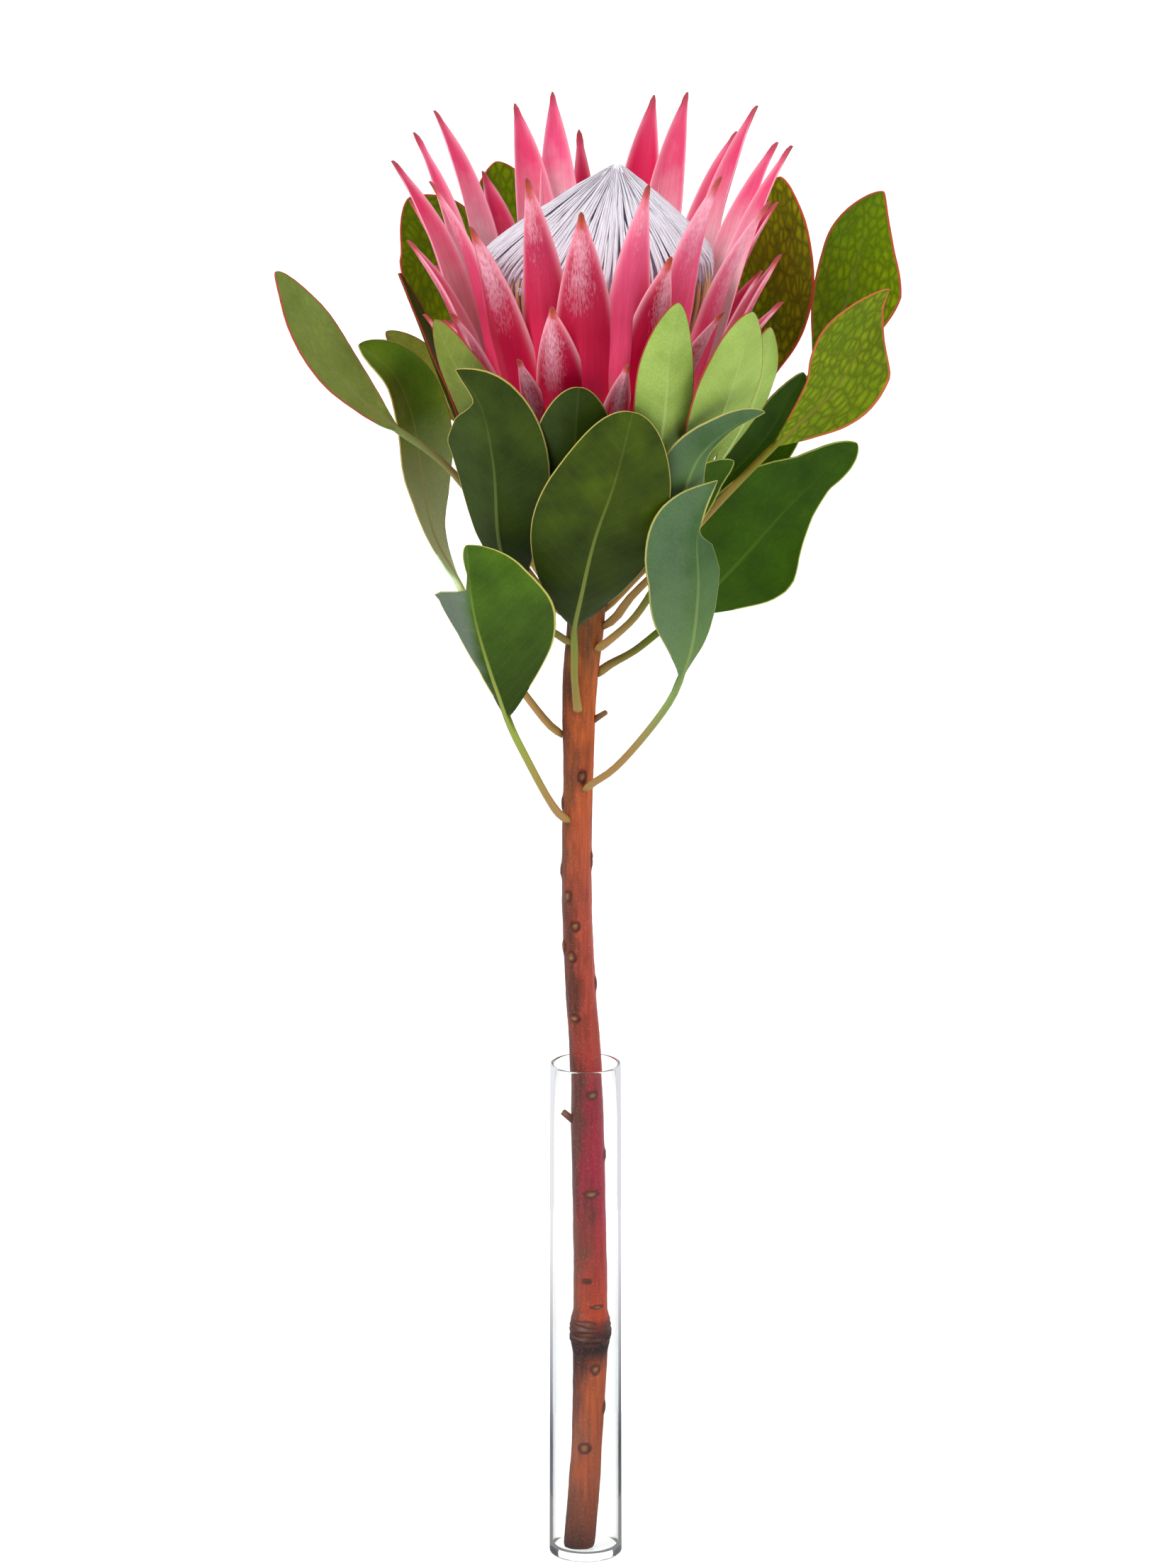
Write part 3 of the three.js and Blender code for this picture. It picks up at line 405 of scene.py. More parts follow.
def stem_bark():
    """Smooth woody bark. It is orange and olive above, crimson low down, with dry brown scars, and painted
    light on its right and painted shade on its left.
    """
    material, tree = blank("protea_stem_bark")
    spot = millimetres(tree)
    read = {k: add(tree, "Attribute", out="Fac", attribute_name=k) for k in STEM_VALUES}
    # Streaks 22 mm long and 1.6 mm wide, patches 22 mm long and 8 mm wide, and grit of 0.7 mm
    long_spot = add(tree, "Mapping", {"Vector": spot, "Scale": (1 / 1.6, 1 / 1.6, 1 / 22)})
    streaks = add(tree, "TexNoise", {"Vector": long_spot, "Scale": 1.0, "Detail": 4.0})
    patch_spot = add(tree, "Mapping", {"Vector": spot, "Scale": (1 / 8, 1 / 8, 1 / 22)})
    patches = add(tree, "TexNoise", {"Vector": patch_spot, "Scale": 1.0, "Detail": 3.0})
    grit = add(tree, "TexNoise", {"Vector": spot, "Scale": 1 / 0.7, "Detail": 3.0})
    share = add(tree, "Math", [read["height"], STEM_TOP], operation="DIVIDE")
    # Up the stem, warm colours on its right and cool ones on its left: the bark's own orange and olive, with
    # painted light on the right and painted shade on the left. The dark stops are its ring swelling
    warm = add(tree, "ValToRGB", [share], stops=[
        (0.0, "#38140c"), (0.07, "#944424"), (0.17, "#a4481a"), (0.19, "#200608"), (0.206, "#280a0a"),
        (0.22, "#a4360f"), (0.33, "#9a1030"), (0.42, "#8c182a"), (0.47, "#a03a2c"), (0.6, "#a64630"),
        (0.68, "#b2522a"), (0.78, "#b4561e"), (0.83, "#94501f"), (1.0, "#5d4824")])
    cool = add(tree, "ValToRGB", [share], stops=[
        (0.0, "#200c08"), (0.1, "#8a4c36"), (0.185, "#2c0c0e"), (0.206, "#240c0c"), (0.23, "#7c3a26"),
        (0.33, "#5a261e"), (0.47, "#54281e"), (0.6, "#5e2e20"), (0.7, "#7c4426"), (0.78, "#5c2a18"),
        (1.0, "#4a4a1c")])
    side = add(tree, "Math", [patches, 1.9, read["turn"]], operation="MULTIPLY_ADD")
    side = add(tree, "MapRange", [side, 1.22, 1.82])
    bark = add(tree, "Mix", [side, cool, warm], data_type="RGBA")
    shade = add(tree, "MapRange", [streaks, 0.3, 0.7, 0.76, 1.18])
    bark = add(tree, "VectorMath", [bark, shade], operation="SCALE")
    dust = add(tree, "MapRange", [grit, 0.56, 0.78, 0.0, 0.22])
    bark = add(tree, "Mix", [dust, bark, "#c9a88f"], data_type="RGBA")
    scar = add(tree, "ValToRGB", [read["scar"]], stops=[
        (0.0, "#5a2418"), (0.4, "#4a2016"), (0.6, "#6c3c26"), (0.85, "#805a34"), (1.0, "#8c683c")])
    marked = add(tree, "MapRange", [read["scar"], 0.08, 0.4])
    bark = add(tree, "Mix", [marked, bark, scar], data_type="RGBA")
    relief = add(tree, "Math", [grit, streaks], operation="ADD")
    bump = add(tree, "Bump", {"Height": relief, "Strength": 0.4, "Distance": 0.4 * MM})
    shader = add(tree, "BsdfPrincipled", {
        "Base Color": bark, "Normal": bump, "Roughness": 0.42, "Specular IOR Level": 0.3})
    add(tree, "OutputMaterial", [shader])
    return material


def tube_glass():
    """Clear drawn soda-lime glass: smooth, with a faint green-grey tint that shows where it is thick."""
    material, tree = blank("clear_tube_glass")
    shader = add(tree, "BsdfPrincipled", {
        "Base Color": "#fcfefd", "Transmission Weight": 1.0, "Roughness": 0.0, "IOR": 1.45,
        "Specular IOR Level": 0.0})
    add(tree, "OutputMaterial", [shader])
    return material


# Glass tube

def arc(middle, radius, start, sweep, steps):
    """The places on an arc that follow its first one. The angles are in degrees."""
    turns = [math.radians(start + sweep * k / steps) for k in range(1, steps + 1)]
    return [(middle[0] + radius * math.cos(turn), middle[1] + radius * math.sin(turn)) for turn in turns]


def glass_tube():
    """A slim tube, a little wider at its foot, with a closed rounded foot and a fire-polished rim."""
    height, rim, foot, wall, floor = 234, 16.0, 16.5, 1.3, 3.6
    outer_round, inner_round = 1.8, 3
    bead = wall / 2
    inner = foot - wall
    levels = [30, 90, 160, 210]
    profile = [(0, 0), (8, 0), (foot - outer_round, 0)]
    profile += arc((foot - outer_round, outer_round), outer_round, -90, 90, 6)
    shoulder = height - bead
    profile += [(mix(foot, rim, z / shoulder), z) for z in [*levels, shoulder]]
    profile += arc((rim - bead, shoulder), bead, 0, 180, 8)
    profile += [(mix(inner, rim - wall, z / shoulder), z) for z in [*levels[::-1], floor + inner_round]]
    profile += arc((inner - inner_round, floor + inner_round), inner_round, 0, -90, 6)
    profile += [(6, floor + 0.3), (0, floor + 0.5)]
    bm = bmesh.new()
    turned(bm, profile, 96)
    tube = finished(bm, "glass_tube", tube_glass(), "vase_tube")
    tube.visible_shadow = tube.visible_diffuse = tube.visible_glossy = False


# Stem

# The stem's middle line, from its foot in the tube.
STEM_ROUTE = [
    (-3, -5, 4.8), (-1, -4, 28), (1.5, -1, 74), (2.2, 2.5, 107), (2.2, 4.6, 131), (1.2, 6.6, 187),
    (0, 6.9, 234), (-2, 6.4, 263), (-4, 5, 313), (-3.3, 3.2, 367), (-2.5, 2, 413), (0, 1, 440),
    (1.6, 0, 480), (3, 0, STEM_TOP),
]
# The stem's radius at each height.
STEM_RADIUS = [
    (4, 6.9), (26, 7.2), (49, 6.9), (72, 7.3), (96, 7.9), (102, 9.1), (107, 9.6), (111, 9.0),
    (116, 7.8), (131, 7.7), (214, 7.5), (240, 7.1), (262, 6.9), (333, 6.7), (367, 6.7), (390, 7.3),
    (413, 7.9), (434, 8.3), (475, 9), (500, 10), (STEM_TOP, 12),
]
# Buds and leaf scars: turn about the stem in degrees, height, size across and size along.
STEM_SCARS = [
    (285, 370, 1.7, 2.6), (186, 356, 1.8, 2.6), (350, 329, 1.5, 3.2), (182, 324, 1.4, 3.0),
    (235, 313, 1.6, 2.2), (262, 299, 1.8, 2.0), (200, 288, 1.4, 3.0), (242, 284, 1.9, 2.2),
    (355, 270, 1.4, 2.8), (240, 255, 2.4, 1.5), (290, 218, 2.4, 1.5), (352, 189, 1.4, 2.4),
    (278, 172, 3.1, 1.3), (258, 131, 2.3, 0.7), (292, 119, 2.5, 0.7), (288, 90, 1.9, 2.0),
    (345, 71, 1.4, 2.6), (262, 53, 2.4, 1.9),
    (80, 150, 2.3, 2.0), (110, 240, 2.2, 1.9), (70, 320, 2.0, 2.2), (95, 60, 2.2, 2.2),
]
# Broken side twigs: start, end, radius, and how much torn wood shows.
STEM_STUBS = [((-3, 5.5, 203), (-10.6, 4.6, 209), 1.7, 0.4), ((3, 1, 395), (9.3, -0.5, 399.5), 1.5, 0.72)]
# The ring swelling low down, with a dark creased bark: the heights of its foot and its top.
RING_FOOT = 99
RING_TOP = 114

stem_route = route_through(STEM_ROUTE)


def stem_centre(height):
    """The middle of the stem at a height."""
    places = stem_route[0]
    i = min(max(bisect.bisect_left([p.z for p in places], height), 1), len(places) - 1)
    share = (height - places[i - 1].z) / (places[i].z - places[i - 1].z)
    return places[i - 1].lerp(places[i], min(max(share, 0), 1))


def stem():
    """The woody stem with its ring swelling, its scars and two torn side twigs."""
    steps, sides = 400, 52
    bm, layers = new_mesh(STEM_VALUES)
    # The ring swelling takes the finer steps
    spread = [(0, STEM_ROUTE[0][2]), (0.17, RING_FOOT - 2), (0.3, RING_TOP + 2), (1, STEM_TOP)]
    levels = [along(spread, i / steps) for i in range(steps + 1)]
    centres = [stem_centre(z) for z in levels]
    for v, i, k in rolled(bm, steps, sides):
        z, centre = levels[i], centres[i]
        turn = math.tau * k / sides
        radius = along(STEM_RADIUS, z)
        outward = Vector((math.cos(turn), math.sin(turn), 0))
        # Slow swells along it, and finer ones over them
        spot = Vector((outward.x * 2.2, outward.y * 2.2, z / 16))
        radius += 0.28 * noise.noise(spot) + 0.12 * noise.noise(Vector((spot.x * 4, spot.y * 4, z / 4)))
        # The ring swelling is creased round, and looks like scar where a crease is deep
        swollen = ease((z - RING_FOOT) / 3) * ease((RING_TOP - z) / 3)
        crease = noise.noise(Vector((outward.x * 1.4, outward.y * 1.4, z / 1.4)))
        radius += swollen * 0.6 * crease
        scar = swollen * (0.24 - 0.5 * crease)
        for at, level, across, tall in STEM_SCARS:
            if abs(z - level) < 3 * tall:
                # A scar is a low mound with a dimple in its middle and a darker line round it
                gap = (turn - math.radians(at) + math.pi) % math.tau - math.pi
                away = math.hypot(gap * radius / across, (z - level) / tall)
                radius += 1.15 * math.exp(-away * away) - 0.5 * math.exp(-((away - 0.15) * 3.4) ** 2)
                scar = max(scar, math.exp(-((away - 1.1) * 2.6) ** 2) * 0.45, 1.25 - away)
        if i == 0 or i == steps:  # the cut ends have a small round edge
            radius -= 0.35
        v.co = centre + outward * radius
        write(v, layers, (z, scar, 0.5 + 0.5 * math.cos(turn + 0.35)))
    bmesh.ops.remove_doubles(bm, verts=bm.verts[:], dist=0.01)
    bmesh.ops.holes_fill(bm, edges=[e for e in bm.edges if e.is_boundary], sides=0)
    noise.seed_set(SEED)  # otherwise the clock seeds noise_vector, and the torn ends differ each run
    for start, end, radius, torn in STEM_STUBS:
        start, end = Vector(start), Vector(end)
        lean = (end - start).to_track_quat("Z", "Y").to_matrix().to_4x4()
        made = bmesh.ops.create_cone(bm, cap_ends=True, segments=14, radius1=radius, radius2=radius * 0.75,
                                     depth=(end - start).length,
                                     matrix=Matrix.Translation((start + end) / 2) @ lean)["verts"]
        for v in made:
            at_end = (v.co - end).length < radius * 1.2
            write(v, layers, (v.co.z, torn + 0.2 * at_end, 0))
            v.co += 0.35 * noise.noise_vector(v.co * 0.9)
    finished(bm, "woody_stem", stem_bark(), "stem")


# Leaves

# foot: turn about the stem in degrees and height where the stalk is attached.
# rib: the free points of the stalk and midrib, up to the leaf's tip.
# blade: which of those points the blade begins at.
# sides: which way the right-hand margin points, seen from outside, from the blade's base to its tip.
# width and full: the blade's full width, and how far along it is widest.
# cup: how far the margins rise towards the flower, as a share of the half width.
# wave: how tall the margins' waves are in millimetres, how many there are, and where in one they begin.
# left and right: where given, how much of its width each half keeps along the blade.
# blunt: how round the tip is, below 1 for a rounder one.
# crease: how steeply both halves rise straight from the midrib.
LEAVES = [
    dict(name="leaf_left_far", finish="side", foot=(190, 445), blade=3, width=33, full=0.5, cup=0.1,
         wave=(1.5, 1, 0), rib=[(-40, -14, 489), (-61, -23, 519), (-72, -28, 530), (-83, -30, 538),
         (-96, -32, 549), (-114, -32, 568), (-128, -30, 591), (-138, -28, 611)],
         sides=[(-0.35, -0.8, -0.45), (-0.35, -0.8, -0.45)], right=[(0, 0.8), (1, 0.7)]),
    dict(name="leaf_left_twisted", finish="shady", foot=(178, 388), blade=3, width=38, full=0.6, cup=0.2,
         wave=(2, 1.5, 0), rib=[(-26, 3, 405), (-42, 8, 427), (-50, 11, 441), (-57, 14, 455), (-69, 18, 478),
         (-74, 21, 503), (-78, 21, 530), (-86.5, 18, 552), (-102, 14, 566.5)],
         sides=[(-0.45, -0.85, -0.1), (-0.5, -0.8, -0.2)], left=[(0, 0.8), (0.5, 1), (0.75, 1.15), (1, 1)]),
    dict(name="leaf_left_behind", finish="pale", foot=(150, 474), blade=2, width=18, full=0.5, cup=0.1,
         wave=(0, 1, 0), rib=[(-24, 20, 488), (-44, 36, 509), (-55, 44, 521), (-66, 50, 536), (-76, 51, 550),
         (-90, 48, 564)], sides=[(-0.6, -0.5, -0.6), (-0.5, -0.5, -0.6)]),
    dict(name="leaf_front_left", finish="deep", foot=(213, 433), blade=1, width=50, full=0.62, cup=0.12,
         wave=(2, 1, 0.3), rib=[(-20, -14, 445), (-29, -22, 460), (-38, -40, 488), (-41, -56, 531),
         (-47, -64, 560), (-57.5, -67, 576)], sides=[(0.88, -0.45, 0), (0.88, -0.45, 0.2)], crease=0.12,
         left=[(0, 0.6), (0.4, 0.85), (0.65, 1), (0.78, 0.75), (0.86, 0.15), (1, 0.1)]),
    dict(name="leaf_front_small", finish="deep", foot=(262, 463), blade=1, width=36, full=0.65, cup=0.1,
         wave=(0.5, 1, 0), rib=[(-1, -18, 474), (-4, -28, 485), (-5, -46, 507), (-5, -60, 533),
         (-4, -68, 553), (-3, -71, 569)], sides=[(1, 0, 0), (1, 0, 0)], blunt=0.5),
    dict(name="leaf_front_large", finish="front", foot=(266, 402), blade=2, width=58, full=0.52, cup=0.1,
         wave=(1.5, 1.5, 0), rib=[(-5, -16, 420), (-5, -22, 433), (-5, -30, 447), (-2, -46, 466),
         (4, -64, 497), (13, -76, 527), (21, -84, 561)], sides=[(1, 0, 0), (1, 0.05, -0.2)], blunt=0.5),
    dict(name="leaf_upright", finish="pale", foot=(288, 475), blade=2, width=28, full=0.6, cup=0.15,
         wave=(0.5, 1, 0), rib=[(11, -20, 486), (18, -34, 498), (24, -44, 510), (31, -60, 531),
         (35, -75, 559), (37, -82, 586), (41, -84, 611)], sides=[(0.9, 0.4, 0), (0.9, 0.35, 0)]),
    dict(name="leaf_right_pale", finish="pale", foot=(326, 474), blade=2, width=36, full=0.6, cup=0.12,
         wave=(0.6, 1, 0), rib=[(22, -13, 486), (35, -22, 500), (46, -33, 515), (54, -47, 534),
         (61, -64, 556), (68, -71, 580), (74, -69, 603)], sides=[(0.73, 0.68, 0), (0.73, 0.6, 0)],
         right=[(0, 1.6), (0.35, 1.15), (1, 1)]),
    dict(name="leaf_right_pale_behind", finish="pale", foot=(335, 490), blade=2, width=28, full=0.6, cup=0.1,
         wave=(0, 1, 0), rib=[(24, -9, 498), (42, -14, 508), (57, -20, 519), (69, -29, 539), (76, -37, 557),
         (80, -39, 573), (82, -38, 588)], sides=[(0.6, 0.75, 0), (0.6, 0.75, 0)]),
    dict(name="leaf_right_folded", finish="bluish", foot=(305, 468), blade=2, width=34, full=0.5, cup=0.2,
         wave=(1, 1, 0), rib=[(15, -21, 479), (25, -37, 487), (34, -49, 498), (42, -60, 515), (51, -71, 538),
         (65, -76, 552), (79.5, -72, 558)], sides=[(0.6, 0.4, -0.5), (0.45, 0.5, -0.6)],
         left=[(0, 1), (0.3, 0.95), (0.5, 0.78), (0.75, 0.6), (1, 0.7)],
         right=[(0, 1), (0.25, 0.85), (0.4, 0.5), (0.6, 0.22), (1, 0.1)]),
    dict(name="leaf_right_rolled", finish="dark", foot=(318, 430), blade=2, width=32, full=0.5, cup=0.1,
         wave=(0.5, 1, 0), rib=[(21, -13, 446), (30, -22, 462), (38, -31, 480), (46, -39, 501),
         (55, -43, 517), (66, -43, 528)], sides=[(-0.6, -0.5, 0.5), (-0.35, -0.6, 0.7)],
         left=[(0, 0.5), (1, 0.45)], right=[(0, 0.6), (0.45, 0.65), (0.7, 1.2), (1, 1.6)]),
    dict(name="leaf_right_twisted", finish="bluish", foot=(302, 364), blade=3, width=42, full=0.55, cup=0.2,
         wave=(2.5, 1.5, 0.4), rib=[(12, -14, 376), (24, -24, 392), (38, -40, 416), (42, -47, 427),
         (47, -57, 445), (50, -66, 476), (49.5, -68, 499), (52.5, -67, 512), (58.5, -66, 525)],
         sides=[(0.8, 0.55, 0), (0.8, 0.5, 0), (0.7, 0.6, 0)], blunt=0.9, crease=0.2,
         left=[(0, 0.5), (0.12, 0.75), (0.3, 0.95), (0.55, 1.05), (0.72, 1.2), (0.86, 1.4), (1, 1.4)],
         right=[(0, 0.3), (0.2, 0.62), (0.52, 0.82), (0.67, 0.66), (0.76, 0.06), (1, 0.05)]),
    dict(name="leaf_right_dark", finish="dark", foot=(6, 417), blade=2, width=52, full=0.42, cup=0.06,
         wave=(3, 1.5, 0.2), rib=[(22, 0, 428), (36, 1, 439), (46, 2, 445), (66, 5, 465), (94, 8, 496),
         (122, 6, 523)], sides=[(-0.7, -0.15, 0.7), (-0.65, -0.15, 0.7)],
         left=[(0, 1), (0.28, 1), (0.34, 0.98), (0.39, 0.92), (0.435, 0.83), (0.475, 0.74), (0.52, 0.665),
         (0.64, 0.52), (0.78, 0.42), (0.92, 0.6), (1, 0.7)], right=[(0, 1.1), (0.65, 1.15), (0.72, 1.05),
         (0.79, 0.88), (0.86, 0.85), (1, 0.9)]),
    dict(name="leaf_right_yellow", finish="bright", foot=(342, 440), blade=4, width=38, full=0.55, cup=0.2,
         wave=(2, 1, 0.2), rib=[(20, -12, 456), (34, -17, 472), (58, -18, 500), (74, -13, 516), (84, -8, 525),
         (97, -3, 536), (112, 1, 550), (124.5, 2, 572), (136, -1, 596)],
         sides=[(-0.6, -0.45, 0.6), (-0.7, -0.35, 0.4)], left=[(0, 1), (0.45, 1), (0.6, 0.95), (0.75, 0.5),
         (0.9, 0.15), (1, 0.1)], right=[(0, 1), (0.35, 1.05), (0.6, 1.3), (0.8, 1.5), (0.92, 1.5), (1, 1.2)]),
    dict(name="leaf_right_far", finish="lit", foot=(28, 446), blade=3, width=42, full=0.55, cup=0.1,
         wave=(1.5, 1.5, 0), rib=[(28, 15, 464), (58, 28, 489), (88, 42, 522), (103, 50, 545), (112, 54, 560),
         (120, 55, 583), (125, 52, 606), (134, 44, 630)], sides=[(-0.9, 0.35, 0.2), (-0.9, 0.3, 0)],
         left=[(0, 1.2), (0.5, 1.2), (0.8, 0.75), (1, 0.4)], right=[(0, 1), (0.6, 0.8), (1, 0.8)]),
    dict(name="leaf_right_back", finish="warm", foot=(52, 452), blade=3, width=42, full=0.55, cup=0.15,
         wave=(1, 1, 0), rib=[(22, 22, 466), (46, 38, 486), (63, 52, 508), (76, 64, 530), (84, 73, 554),
         (87, 75, 580), (88, 72, 606), (88, 68, 631)], sides=[(-0.85, 0.5, 0), (-0.85, 0.5, 0)]),
    dict(name="leaf_right_shaded", finish="dark", foot=(8, 462), blade=1, width=28, full=0.55, cup=0.15,
         wave=(0.5, 1, 0), rib=[(26, 8, 474), (44, 14, 487), (60, 18, 501), (80, 24, 520), (90, 27, 536),
         (98, 25, 551)], sides=[(-0.5, -0.4, 0.6), (-0.5, -0.4, 0.6)], left=[(0, 1.3), (1, 1)]),
    dict(name="leaf_left_back", finish="lit", foot=(138, 458), blade=3, width=42, full=0.6, cup=0.12,
         wave=(1, 1, 0), rib=[(-18, 24, 476), (-35, 46, 502), (-46, 60, 522), (-55, 70, 541), (-63, 79, 570),
         (-68, 80, 600), (-80, 72, 620)], sides=[(-0.9, -0.4, 0), (-0.9, -0.4, 0)]),
    dict(name="leaf_back_left", finish="lit", foot=(112, 452), blade=3, width=40, full=0.6, cup=0.12,
         wave=(1, 1, 0), rib=[(-8, 28, 472), (-15, 50, 500), (-20, 66, 518), (-25, 82, 540), (-32, 100, 573),
         (-36.5, 104, 604), (-40.5, 101, 630)], sides=[(-1, -0.3, 0), (-1, -0.3, 0)]),
    dict(name="leaf_left_edge", finish="edge", foot=(164, 449), blade=2, width=30, full=0.6, cup=0.1,
         wave=(0.5, 1, 0), rib=[(-26, 9, 470), (-42, 15, 500), (-50, 18, 515), (-59, 20, 534), (-67, 22, 554),
         (-77, 22, 580), (-84, 20, 598)], sides=[(0, -1, 0), (0, -1, 0)]),
    dict(name="leaf_left_pale", finish="olive", foot=(206, 466), blade=2, width=28, full=0.55, cup=0.12,
         wave=(0.5, 1, 0), rib=[(-17, -13, 480), (-28, -26, 500), (-36, -36, 518), (-43, -46, 540),
         (-50, -52, 560), (-59, -52, 577), (-67, -48, 594)], sides=[(0.7, -0.6, 0.4), (0.6, -0.6, 0.5)]),
    dict(name="leaf_lower_left", finish="sheened", foot=(228, 349), blade=3, width=52, full=0.55, cup=0.25,
         wave=(2, 1, 0), rib=[(-17, -17, 364), (-28, -33, 390), (-32, -39, 400), (-35, -44, 409),
         (-43, -56, 436), (-50, -63, 465), (-53, -62, 494)], sides=[(0.85, -0.4, 0.2), (0.85, -0.4, 0.3)],
         crease=0.25, left=[(0, 0.3), (0.3, 0.3), (0.5, 0.55), (0.67, 0.92), (0.705, 1.12), (0.73, 0.72),
         (0.755, 0.2), (0.85, 0.1), (1, 0.45)], right=[(0, 1.1), (0.5, 1.2), (0.85, 1.35), (1, 1.6)]),
    dict(name="leaf_back_low", finish="front", foot=(95, 396), blade=1, width=52, full=0.5, cup=0.12,
         wave=(1.5, 1.5, 0), rib=[(-2, 24, 418), (0, 36, 436), (4, 56, 465), (10, 70, 497), (15, 76, 530)],
         sides=[(-1, 0.1, 0), (-1, 0.1, 0)]),
    dict(name="leaf_back_right", finish="front", foot=(72, 446), blade=2, width=42, full=0.55, cup=0.12,
         wave=(1, 1.5, 0), rib=[(10, 26, 468), (17, 44, 490), (24, 60, 512), (31, 78, 540), (37, 90, 566),
         (41, 93, 590)], sides=[(-0.95, 0.3, 0), (-0.95, 0.3, 0)]),
    dict(name="leaf_back_side", finish="pale", foot=(45, 482), blade=1, width=36, full=0.55, cup=0.12,
         wave=(1, 1, 0), rib=[(26, 22, 498), (38, 34, 508), (54, 52, 530), (62, 66, 556), (64, 72, 584)],
         sides=[(-0.8, 0.6, 0), (-0.8, 0.6, 0)]),
    dict(name="leaf_back_middle", finish="pale", foot=(100, 484), blade=1, width=40, full=0.55, cup=0.12,
         wave=(1, 1, 0), rib=[(-1, 26, 500), (-2, 38, 510), (-4, 60, 532), (-3, 76, 558), (-1, 82, 586)],
         sides=[(-1, 0, 0), (-1, 0, 0)]),
]
WHOLE = [(0, 1)]


def mirrored(half):
    """Columns across a blade: 0 is its midrib, and -1 and 1 are its margins."""
    return [-place for place in reversed(half)] + [0] + half


LEAF_COLUMNS = mirrored([0.06, 0.14, 0.26, 0.4, 0.55, 0.7, 0.84, 0.93, 0.975, 1])
STALK_HALF = 1.6  # half of a stalk's thickness
KNEE_OUT = 4.85  # where a stalk bends: its distance from the stem, and its height above the stalk's start
KNEE_UP = 3.5
STALK_STEPS = 14
BLADE_STEPS = 56


def blade_shape(share, full, blunt):
    """How much of a blade's full width it has at a share of its length."""
    if share < full:
        return math.sin(share / full * math.pi / 2) ** 0.9
    return max(math.cos((share - full) / (1 - full) * math.pi / 2), 0) ** blunt


def leaf(name, finish, foot, rib, blade, sides, width, full, cup, wave, left=WHOLE, right=WHOLE, blunt=0.6,
         crease=0.05):
    """One leaf on its stalk. The stalk leaves the stem squarely, and then bends up."""
    chance = random.Random(f"{SEED} {name}")
    turn, height = math.radians(foot[0]), foot[1]
    outward = Vector((math.cos(turn), math.sin(turn), 0))
    start = stem_centre(height) + outward * (along(STEM_RADIUS, height) + CLEARANCE)
    knee = start + outward * KNEE_OUT + Vector((0, 0, KNEE_UP))
    route = route_through([start, knee, *rib])
    length = route[1][-1]
    blade_start = route[1][(blade + 2) * FINE] / length
    # Each station: its share of the route, its share of the blade, and how much it is still stalk
    stations = []
    for i in range(STALK_STEPS):
        stations.append((blade_start * (i / STALK_STEPS) ** 1.3, 0, 1))
    for i in range(BLADE_STEPS + 1):
        share = (1 - math.cos(math.pi * i / BLADE_STEPS)) / 2
        stations.append((mix(blade_start, 1, share), share, max(1 - 7 * share, 0)))

    bm, layers = new_mesh(LEAF_VALUES)
    tone = chance.uniform(0, 100)
    frames = []
    for place, share, stalk in stations:
        centre, ahead = on_route(route, place)
        if place == 0:
            ahead = outward
        spot = share * (len(sides) - 1)
        before = min(int(spot), len(sides) - 2)
        across = Vector(sides[before]).lerp(Vector(sides[before + 1]), spot - before)
        across = (across - ahead * across.dot(ahead)).normalized()
        frames.append((centre, across, ahead.cross(across)))
    tall, cycles, phase = wave
    for v, i, k, top in slab(bm, len(stations) - 1, len(LEAF_COLUMNS) - 1):
        place, share, stalk = stations[i]
        centre, across, inward = frames[i]
        s = LEAF_COLUMNS[k]
        kept = along(left if s < 0 else right, share)
        stalk_half = STALK_HALF * (1 - share) * mix(1.3, 1, ease(place / blade_start * 3))
        half = max(stalk_half, width / 2 * blade_shape(share, full, blunt) * kept, 0.25)
        reach = (place - blade_start) * length
        aside = half * s
        # The margins wave, the skin swells between the side veins, and the halves buckle a little
        ripple = tall * 4 * share * (1 - share) * s * abs(s) * math.sin(math.tau * (cycles * share + phase))
        loose = 1 - stalk
        vein = math.sin(math.tau * (reach - VEIN_RISE * abs(aside)) / VEIN_GAP)
        quilt = 0.06 * loose * vein * min(abs(aside) / 4, 1)
        buckle = 0.5 * loose * abs(s) * noise.noise(Vector((reach / 15, aside / 12, tone)))
        lift = half * (cup * s * s + crease * abs(s)) * loose + ripple + quilt + buckle
        # A stalk is nearly round, and a blade is thin, with a midrib that stands out below
        rounded = STALK_HALF * math.sqrt(1 - 0.88 * s * s)
        edge = 0.3 + 0.12 * ease((abs(s) - 0.93) / 0.05)
        flat = edge + 0.5 * (1 - share) * (1 - abs(s)) ** 2
        ridge = 0.55 * (1 - share) * math.exp(-(aside / 0.9) ** 2) * loose
        thick = mix(flat, rounded, stalk)
        side = thick - 0.4 * ridge if top else -thick - ridge
        v.co = centre + across * aside + inward * (lift + side)
        # A stalk has no margin, so its corners lie 9 mm in from one
        write(v, layers, (reach, aside, half * (1 - abs(s)) + 9 * stalk, top, share, tone))
    finished(bm, name + "_blade", LEAF_FINISHES[finish], name)


# Flower head

